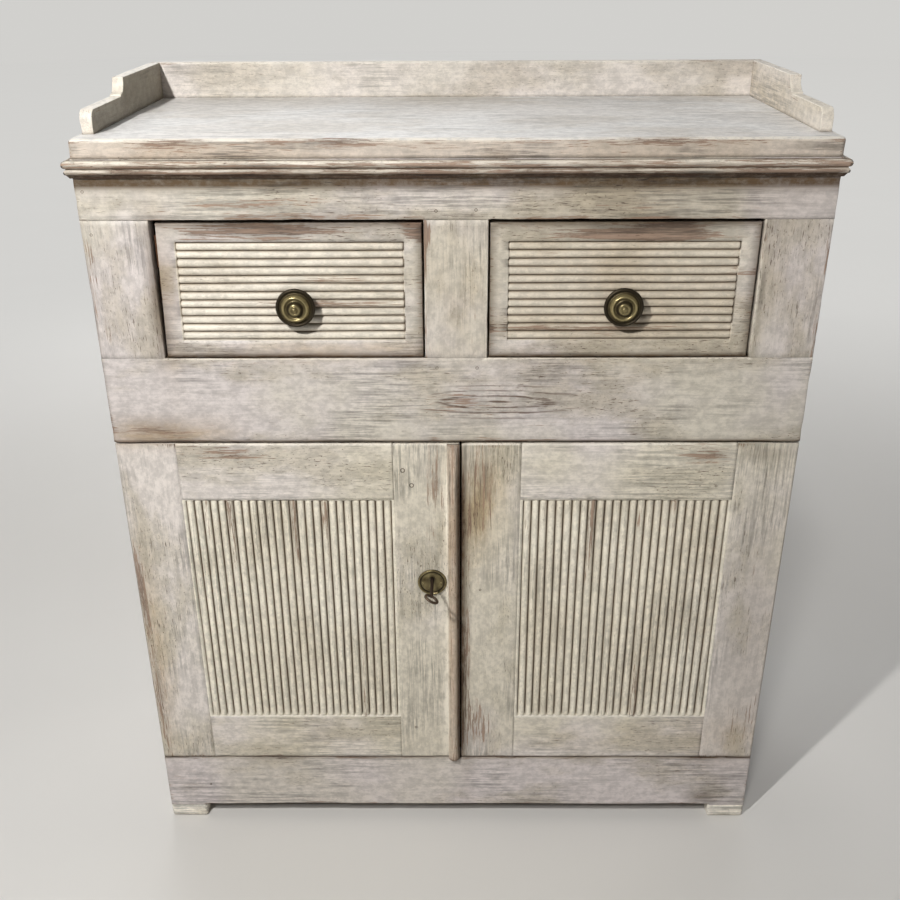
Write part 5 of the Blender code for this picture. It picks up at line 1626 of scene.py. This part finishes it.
@dataclass
class Lock:
    """Brass escutcheon, iron lock and bolt, and the key."""

    disc_radius: float = 0.019
    disc_centre: Span = (-0.0318, 0.4086)
    key_centre: Span = (-0.0318, 0.4135)
    hole_radius: float = 0.0032
    slot_half: float = 0.0017
    slot_length: float = 0.0105
    sides: int = 96
    pin_radius: float = 0.0013
    pin_offset: float = 0.0118
    key_turn: float = 60.0
    bow: Span = (0.0165, 0.0205)
    wire: float = 0.0020
    shank_radius: float = 0.0024
    bit_width: float = 0.0042
    bit_length: float = 0.009
    bit_half: float = 0.0012
    notch_half: float = 0.0005
    bow_steps: int = 48
    wire_sides: int = 12
    shank_sides: int = 24
    pin_sides: int = 20

    def build(self) -> list[Piece]:
        """Make the escutcheon, its pins and the key, and dress the iron pieces."""
        iron = [BareNode(name, IRON, 0.0004).build() for name in ("lock_case", "lock_bolt")]
        return [self.build_escutcheon(), self.build_pins(), self.build_key()] + iron

    def build_pins(self) -> Piece:
        """Make the two round-headed pins that hold the disc.

        Returns:
            The pins.
        """
        low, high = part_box("escutcheon")
        face, back = high.y - 0.62 * (high.y - low.y), high.y - 0.0002
        radius = self.pin_radius
        dome = [(0.0, back), (radius, back), (radius, face), (0.9 * radius, face - 0.0004),
                (0.55 * radius, face - 0.0008), (0.0, face - 0.00095)]
        bm = bmesh.new()
        for side in (-1.0, 1.0):
            turned(dome, (self.disc_centre[0] + side * self.pin_offset, self.disc_centre[1]),
                   self.pin_sides, bm)
        piece = link_piece("escutcheon_pins", bm)
        proud = points_of(piece)[:, 1] < face
        dress_small(piece, BRASS, 0.8 * proud, 0.7 * ~proud)
        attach(piece, body_of("escutcheon"))
        return piece

    def build_key(self) -> Piece:
        """Make the key: oval bow, collar, round shank and notched bit.

        Returns:
            The key.
        """
        low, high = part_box("key")
        x, z = self.key_centre
        turn = math.radians(self.key_turn)
        across = Vector((math.sin(turn), 0.0, -math.cos(turn)))
        thin = Vector((math.cos(turn), 0.0, math.sin(turn)))
        axis = Vector((0.0, 1.0, 0.0))
        length, width = self.bow
        middle = Vector((x, low.y + length / 2, z))
        bm = bmesh.new()
        rings = []
        circle = [2.0 * math.pi * k / self.wire_sides for k in range(self.wire_sides)]
        for i in range(self.bow_steps):
            angle = 2.0 * math.pi * i / self.bow_steps
            ray = -axis * math.cos(angle) * (length / 2 - self.wire) + across * math.sin(angle) * (
                width / 2 - self.wire)
            outward = ray.normalized()
            sections = [outward * math.cos(s) + 0.85 * thin * math.sin(s) for s in circle]
            rings.append([bm.verts.new(middle + ray + self.wire * section) for section in sections])
        for one, two in zip(rings, rings[1:] + rings[:1]):
            hoop(bm, one, two)
        start, radius = low.y + length - 1.6 * self.wire, self.shank_radius
        shank = [(0.0, start), (0.8 * radius, start), (radius, start + 0.0014),
                 (0.82 * radius, start + 0.0022), (0.98 * radius, start + 0.003),
                 (0.9 * radius, start + 0.0042), (0.9 * radius, start + 0.014),
                 (0.9 * radius, start + 0.026), (0.95 * radius, start + 0.03), (radius, high.y - 0.001),
                 (0.8 * radius, high.y), (0.0, high.y)]
        turned(shank, (x, z), self.shank_sides, bm)
        notch = sum(corner.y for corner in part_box("lock_bolt")) / 2
        bit_low, bit_high = notch - self.bit_width / 2, notch + self.bit_width / 2
        notch_low, notch_high = notch - self.notch_half, notch + self.notch_half
        end, floor = self.bit_length, 0.7 * self.bit_length
        outline = [(0.0, bit_low), (end, bit_low), (end, notch_low), (floor, notch_low),
                   (floor, notch_high), (end, notch_high), (end, bit_high), (0.0, bit_high)]
        sides = [[bm.verts.new(Vector((x, y, z)) + across * reach + thin * offset) for reach, y in outline]
                 for offset in (-self.bit_half, self.bit_half)]
        hoop(bm, *sides)
        for side in sides:
            for quad in ((0, 1, 2, 3), (0, 3, 4, 7), (4, 5, 6, 7)):
                bm.faces.new([side[k] for k in quad])
        bmesh.ops.recalc_face_normals(bm, faces=bm.faces[:])
        piece = link_piece("key_forged", bm, sharp=45.0)
        places = points_of(piece)
        dress_small(piece, IRON, 0.6 * bell(places[:, 1] - low.y, 0.012), 0.3 * np.ones(len(places)))
        return seat(piece, "iron", "key")

    def keyhole_reach(self, turn: float) -> float:
        """How far the keyhole reaches from the key's axis.

        Args:
            turn: Direction, 0 to the right and a quarter turn upwards.

        Returns:
            The reach in that direction.
        """
        x, z = math.cos(turn), math.sin(turn)
        reach = self.hole_radius
        if z < 0.0:
            sideways = self.slot_half / max(abs(x), 1e-6)
            downwards = self.slot_length / -z
            reach = max(reach, min(sideways, downwards))
        return reach

    def disc_reach(self, turn: float, radius: float) -> float:
        """How far a ring of the disc is from the key's axis.

        Args:
            turn: Direction.
            radius: Radius of the ring about the disc's own middle.

        Returns:
            The distance.
        """
        drop = self.key_centre[1] - self.disc_centre[1]
        along = -drop * math.sin(turn)
        return along + math.sqrt(max(0.0, along * along + radius * radius - drop * drop))

    def build_escutcheon(self) -> Piece:
        """Make the disc: raised rim, shallow dome and keyhole.

        Returns:
            The escutcheon.
        """
        low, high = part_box("escutcheon")
        back, front = high.y, low.y
        height = back - front
        stages = [(1.0, 0.0), (1.0, 0.4), (0.985, 0.75), (0.955, 0.95), (0.92, 1.0), (0.885, 0.9),
                  (0.86, 0.55), (0.83, 0.3), (0.79, 0.28), (0.755, 0.42), (0.72, 0.58), (0.64, 0.64),
                  (0.5, 0.68)]
        bm = bmesh.new()
        rings = []
        for share, rise in stages:
            radius = share * self.disc_radius
            rings.append([self.spot(bm, turn, self.disc_reach(turn, radius), back - rise * height)
                          for turn in self.turns()])
        for depth in (0.62, 0.0):
            rings.append([self.spot(bm, turn, self.keyhole_reach(turn), back - depth * height)
                          for turn in self.turns()])
        for one, two in zip(rings, rings[1:] + rings[:1]):
            hoop(bm, one, two)
        bmesh.ops.recalc_face_normals(bm, faces=bm.faces[:])
        piece = link_piece("escutcheon_disc", bm, sharp=50.0)
        places = points_of(piece)
        heights = (back - places[:, 1]) / height
        x, z = self.key_centre
        hole = np.hypot(places[:, 0] - x, places[:, 2] - z) - self.hole_radius
        grime = 0.2 + 0.8 * bell(heights - 0.25, 0.14) + 0.6 * bell(hole, 0.002)
        dress_small(piece, BRASS, 0.45 * heights, grime)
        return seat(piece, "brass", "escutcheon")

    def turns(self) -> list[float]:
        """Directions round the key's axis."""
        return [2.0 * math.pi * (i + 0.5) / self.sides for i in range(self.sides)]

    def spot(self, bm: Mesh, turn: float, reach: float, y: float) -> bmesh.types.BMVert:
        """A vertex at a distance from the key's axis.

        Args:
            bm: Mesh that takes it.
            turn: Direction from the axis.
            reach: Distance from the axis.
            y: Place from front to back.

        Returns:
            The vertex.
        """
        x, z = self.key_centre
        return bm.verts.new((x + reach * math.cos(turn), y, z + reach * math.sin(turn)))


@dataclass
class Drawer:
    """A drawer: reeded front, brass knob and plain pine box."""

    hand: Hand
    knob_x: float
    seed: float
    skew: float = 0.0
    knob_z: float = 0.78535
    reeds: int = 12
    reed_depth: float = 0.0040
    reed_runout: float = 0.0026
    reed_rounding: float = 0.0015
    margin: float = 0.021
    board: float = 0.0116
    tails: int = 3
    tail_length: float = 0.0123
    tail_tip: float = 0.74
    tail_root: float = 0.56
    knob_radius: float = 0.0228
    knob_reach: float = 0.024
    knob_sides: int = 72
    knob_rings: tuple[Span, ...] = (
        (0.985, 0.0132), (1.0, 0.0118), (0.975, 0.0104), (0.92, 0.0097), (0.865, 0.0100), (0.82, 0.0110),
        (0.76, 0.0108), (0.70, 0.0086), (0.645, 0.0066), (0.60, 0.0058), (0.55, 0.0060), (0.50, 0.0072),
        (0.44, 0.0078), (0.38, 0.0066), (0.335, 0.0046), (0.29, 0.0030), (0.22, 0.0022), (0.165, 0.0026),
        (0.135, 0.0016), (0.08, 0.0004), (0.0, 0.0))

    @property
    def prefix(self) -> str:
        """First part of the names of this drawer's pieces."""
        return f"{self.hand.value}_drawer"

    def build(self) -> list[Piece]:
        """Make the front, the knob and the box.

        Returns:
            The pieces.
        """
        box = [BareNode(f"{self.prefix}_{name}", DRAWER_PINE).build()
               for name in ("side_left", "side_right", "bottom")]
        box.append(BareNode(f"{self.prefix}_back", PINE_WIDE).build())
        return [self.build_front(), self.build_knob()] + box

    def build_front(self) -> Piece:
        """Make the reeded front with its dovetail sockets.

        Returns:
            The front.
        """
        node = f"{self.prefix}_front"
        low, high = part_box(node)

        def place(u: float, v: float, d: float) -> Point:
            """Point of the front, with the slant of its outer end.

            Args:
                u: Height.
                v: Place from left to right.
                d: Depth below the face.

            Returns:
                The point.
            """
            slant = self.skew * (high.x - v) / (high.x - low.x) * (u - low.z) / (high.z - low.z)
            return v + slant, low.y + d, u

        face = ReededFace((low.z, high.z), (low.x, high.x), self.margin, self.margin, self.reeds,
                          self.reed_depth, self.seed, self.reed_runout, self.reed_rounding)
        bm, sunk, pink = face.block(place, high.y - low.y)
        piece = link_piece(f"{node}_reeded", bm)
        places = points_of(piece)
        gap = np.minimum(np.minimum(places[:, 0] - low.x, high.x - places[:, 0]),
                         np.minimum(places[:, 2] - low.z, high.z - places[:, 2]))
        # Near its edges the front is worn, and darker: painted shade of the gap round it.
        rim = bell(gap, 0.004)
        patchy = np.maximum(0.0, 0.4 + rough_at(places, scale=14.0, shift=6.0))
        bare = 0.9 * pink * (1.0 - 0.5 * sunk) + 0.4 * rim * patchy
        # The grooves darken with depth: dirt, and painted shade.
        store_marks(piece, bare, 0.95 * sunk ** 1.1 + 0.65 * rim, np.zeros(len(places)))
        for finish in (RAIL_PAINT, PINE_WIDE, DRAWER_REED_PAINT):
            piece.data.materials.append(finish.material())
        for polygon in piece.data.polygons:
            inset = min(gap[i] for i in polygon.vertices)
            carved = inset > self.margin - 0.0005
            polygon.material_index = 1 if polygon.normal.y > FACING else 2 * int(carved)
        self.cut_sockets(piece)
        return seat(piece, "reed_paint", node)

    def cut_sockets(self, front: Piece) -> None:
        """Cut the sockets for the dovetails into both ends of the front.

        Args:
            front: The front.
        """
        side_low, side_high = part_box(f"{self.prefix}_side_left")
        low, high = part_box(f"{self.prefix}_front")
        pitch = (side_high.z - side_low.z) / self.tails
        bm = bmesh.new()
        for start, end in ((low.x - 0.001, low.x + self.board), (high.x - self.board, high.x + 0.001)):
            for i in range(self.tails):
                middle = side_low.z + (i + 0.5) * pitch
                tip, root = 0.5 * self.tail_tip * pitch, 0.5 * self.tail_root * pitch
                outline = [(high.y + 0.001, -root), (high.y - self.tail_length, -tip),
                           (high.y - self.tail_length, tip), (high.y + 0.001, root)]
                rings = [[bm.verts.new((x, y, middle + z)) for y, z in outline] for x in (start, end)]
                hoop(bm, *rings)
                bm.faces.new(rings[0])
                bm.faces.new(rings[1][::-1])
        bmesh.ops.recalc_face_normals(bm, faces=bm.faces[:])
        cutter = link_piece("socket_cutter", bm)
        cut = front.modifiers.new("sockets", "BOOLEAN")
        cut.operation = "DIFFERENCE"
        cut.solver = "EXACT"
        cut.object = cutter
        bpy.context.view_layer.update()
        made = bpy.data.meshes.new_from_object(front.evaluated_get(bpy.context.evaluated_depsgraph_get()))
        front.modifiers.clear()
        old = front.data
        front.data = made
        bpy.data.meshes.remove(old)
        bpy.data.objects.remove(cutter)

    def knob_profile(self, seat_y: float, rear_y: float) -> list[Span]:
        """Turned profile of the knob, from its rivet to the button in the middle of its face.

        Args:
            seat_y: Where the knob sits on the drawer front.
            rear_y: Where its post ends behind the front.

        Returns:
            Radius and place along Y of each ring.
        """
        edge, face = self.knob_radius, seat_y - self.knob_reach
        post = [(0.0, rear_y), (0.0032, rear_y), (0.0045, rear_y - 0.0012), (0.0022, rear_y - 0.0016),
                (0.0022, seat_y), (0.0088, seat_y), (0.009, seat_y - 0.0012), (0.0084, seat_y - 0.0022)]
        body = [(0.0070, seat_y - 0.0036), (0.0070, seat_y - 0.0056), (0.0120, face + 0.0162),
                (0.0195, face + 0.0146)] + [(edge * share, face + rise) for share, rise in self.knob_rings]
        return post + softened(body, 4)

    def build_knob(self) -> Piece:
        """Make the knob.

        Returns:
            The knob.
        """
        node = f"{self.prefix}_knob"
        low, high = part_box(node)
        seat_y = low.y + self.knob_reach
        profile = self.knob_profile(seat_y, high.y)
        bm = turned(profile, (self.knob_x, self.knob_z), self.knob_sides)
        piece = link_piece(f"{node}_turned", bm, sharp=60.0)
        places = points_of(piece)
        radius = np.hypot(places[:, 0] - self.knob_x, places[:, 2] - self.knob_z) / self.knob_radius
        # The knob's rim and the parts set back from its face are darkened: painted shade. The ring at two
        # thirds of the radius is made bright: a painted highlight. The dark ring round the button is patina.
        proud = np.clip((low.y + 0.0104 - places[:, 1]) / 0.006, 0.0, 1.0)
        rim = np.clip((radius - 0.76) / 0.10, 0.0, 1.0)
        hollow = bell(radius - 0.35, 0.09)
        polish = bell(radius - 0.66, 0.07)
        button = np.clip((0.26 - radius) / 0.08, 0.0, 1.0)
        bare = np.clip(proud * (1.0 - rim) + 0.4 * polish, 0.0, 1.0)
        grime = np.clip(0.4 * (1.0 - proud) - 0.3 * polish, 0.0, 1.0)
        dress_small(piece, BRASS, bare * (1.0 - 0.9 * hollow) * (1.0 - 0.5 * button),
                    grime + 0.8 * rim + 0.8 * hollow + 0.3 * button)
        return seat(piece, "brass", node)


@dataclass
class SmallIron:
    """Corner pivots of the doors and the turn button."""

    ease: float = 0.0004

    def build(self) -> list[Piece]:
        """Dress the pivots and the button."""
        pivots = [BareNode(f"pivot_{level}_{hand.value}", IRON, self.ease).build()
                  for level in ("top", "bottom") for hand in Hand]
        return pivots + [BareNode("right_door_turn_button", PINE_WIDE, 0.0008).build()]


@dataclass
class PegEnds:
    """Ends of the pegs and old nails that hold a frame, nearly flush with its paint."""

    name: str
    node: str
    spots: tuple[Point, ...]
    hollow: float = 0.0005
    sunk: float = 0.002
    sides: int = 24

    def build(self) -> list[Piece]:
        """Make the ends of one body's pegs.

        Returns:
            The pegs, as one piece.
        """
        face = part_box(self.node)[0].y
        bm = bmesh.new()
        for x, z, radius in self.spots:
            turned([(0.0, face + self.sunk), (radius, face + self.sunk), (radius, face - 0.0001),
                    (0.86 * radius, face - 0.0003), (0.72 * radius, face - 0.0002),
                    (0.6 * radius, face + self.hollow), (0.3 * radius, face + 0.6 * self.hollow),
                    (0.0, face + 0.5 * self.hollow)], (x, z), self.sides, bm)
        piece = link_piece(self.name, bm)
        depth = points_of(piece)[:, 1] - face
        zeros = np.zeros(len(depth))
        store_trace(piece, Trace.BARE, zeros)
        store_trace(piece, Trace.GRIME, np.where(depth > 0.0004, 0.6, 1.0))
        store_trace(piece, Trace.PALE, zeros)
        piece.data.materials.append(STILE_PAINT.material())
        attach(piece, body_of(self.node))
        return [piece]


class LampKind(Enum):
    """Kinds of studio lamp."""

    SOFTBOX = "AREA"
    DAYLIGHT = "SUN"


@dataclass(frozen=True)
class Lamp:
    """One soft lamp: a square softbox in watts, or daylight in watts to a square metre."""

    name: str
    kind: LampKind
    place: Point
    aim: Point
    size: float
    power: float
    colour: Point = (1.0, 1.0, 1.0)

    def hang(self) -> None:
        """Hang the lamp, unseen by the camera."""
        lamp = bpy.data.lights.new(self.name, self.kind.value)
        if self.kind is LampKind.SOFTBOX:
            lamp.size = self.size
        else:
            lamp.angle = self.size
        lamp.energy = self.power
        lamp.color = self.colour
        holder = bpy.data.objects.new(self.name, lamp)
        holder.location = self.place
        holder.rotation_euler = (Vector(self.aim) - Vector(self.place)).to_track_quat("-Z", "Y").to_euler()
        holder.visible_camera = False
        bpy.context.scene.collection.objects.link(holder)


@dataclass
class Studio:
    """Pale floor, pale wall far round it, soft lamps and the camera."""

    floor_span: float = 90.0
    floor_parts: int = 30
    wall_radius: float = 12.0
    wall_height: float = 14.0
    wall_sides: int = 96
    eye: Point = (0.00136, -1.3091, 1.1595)
    pitch: float = 25.754
    yaw: float = 0.455
    roll: float = -0.272
    lens: float = 41.91
    sensor: float = 36.0
    sight: Span = (0.05, 150.0)
    floor_drop: float = 0.0003
    air: Colour = (0.93, 0.96, 1.0, 1.0)
    air_strength: float = 0.07
    lamps: tuple[Lamp, ...] = (
        Lamp("key_lamp", LampKind.SOFTBOX, (-0.67, -1.2, 1.75), (-0.05, -0.1, 0.55), 0.05, 23.0, WARM),
        Lamp("daylight", LampKind.DAYLIGHT, (-1.1, -2.5, 3.0), (0.0, 0.0, 0.0), 0.1, 0.6, WARM),
        Lamp("top_lamp", LampKind.SOFTBOX, (-0.9, 0.7, 3.2), (0.0, 0.1, 0.97), 0.8, 4.5),
        Lamp("back_lamp", LampKind.SOFTBOX, (-0.7, 2.6, 1.4), (0.0, 0.2, 0.5), 1.5, 15.0),
        Lamp("side_lamp", LampKind.SOFTBOX, (4.4, 0.8, 1.5), (0.4, 0.1, 0.5), 1.6, 20.0),
        Lamp("far_lamp", LampKind.SOFTBOX, (0.0, 8.0, 5.5), (0.0, 8.1, 0.0), 9.0, 380.0),
    )

    def build(self) -> None:
        """Lay the floor, hang the lamps and set up the camera."""
        self.lay_floor()
        self.stand_wall()
        for lamp in self.lamps:
            lamp.hang()
        self.fill_air()
        self.place_camera()

    def lay_floor(self) -> None:
        """Lay the floor just under the feet."""
        bm = bmesh.new()
        bmesh.ops.create_grid(bm, x_segments=self.floor_parts, y_segments=self.floor_parts,
                              size=self.floor_span / 2)
        floor = link_piece("floor", bm)
        floor.location.z = -self.floor_drop
        floor.data.materials.append(PaleFloor().material())

    def stand_wall(self) -> None:
        """Stand a pale round wall far from the cabinet, which sheds no light on it."""
        bm = bmesh.new()
        bmesh.ops.create_cone(bm, cap_ends=False, segments=self.wall_sides, radius1=self.wall_radius,
                              radius2=self.wall_radius, depth=self.wall_height)
        wall = link_piece("backdrop", bm)
        wall.data.materials.append(PaleWall().material())
        for kind in ("diffuse", "glossy", "transmission", "shadow"):
            setattr(wall, f"visible_{kind}", False)

    def fill_air(self) -> None:
        """Fill the room with even light."""
        world = bpy.data.worlds.new("studio_air")
        world.use_nodes = True
        background = world.node_tree.nodes["Background"]
        background.inputs["Color"].default_value = self.air
        background.inputs["Strength"].default_value = self.air_strength
        bpy.context.scene.world = world
        bpy.context.scene.view_settings.view_transform = "Standard"

    def place_camera(self) -> None:
        """Place the camera at the photograph's viewing angle."""
        lens = bpy.data.cameras.new("camera")
        lens.lens = self.lens
        lens.sensor_width = self.sensor
        lens.clip_start, lens.clip_end = self.sight
        holder = bpy.data.objects.new("camera", lens)
        tilt = Matrix.Rotation(math.radians(90.0 - self.pitch), 4, "X")
        turn = Matrix.Rotation(math.radians(self.yaw), 4, "Z")
        roll = Matrix.Rotation(math.radians(self.roll), 4, "Z")
        holder.matrix_world = Matrix.Translation(self.eye) @ turn @ tilt @ roll
        bpy.context.scene.collection.objects.link(holder)
        bpy.context.scene.camera = holder


def main() -> None:
    """Build the cabinet, sub-assembly by sub-assembly, and report each piece."""
    logging.basicConfig(level=logging.INFO, format="%(message)s")
    Studio().build()
    assemblies = [
        Carcass(),
        FrontFrame(),
        TopAndGallery(),
        Door(Hand.LEFT, "lock_stile", reeds=26, seed=1.0, reed_wear=0.88),
        Door(Hand.RIGHT, "meeting_stile", reeds=25, seed=23.0, reed_wear=0.75),
        MeetingBead(),
        Lock(),
        Drawer(Hand.LEFT, knob_x=-0.184, seed=41.0, skew=0.0045),
        Drawer(Hand.RIGHT, knob_x=0.1915, seed=67.0),
        SmallIron(),
        PegEnds("frame_pegs", "apron_rail", CASE_PEGS),
        PegEnds("left_door_pegs", "left_door_lock_stile", LEFT_DOOR_PEGS),
        PegEnds("right_door_pegs", "right_door_meeting_stile", RIGHT_DOOR_PEGS),
    ]
    for assembly in assemblies:
        for piece in assembly.build():
            LOG.info("%s: %s rides on %s", type(assembly).__name__, piece.name, piece["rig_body"])


if __name__ == "__main__":
    main()
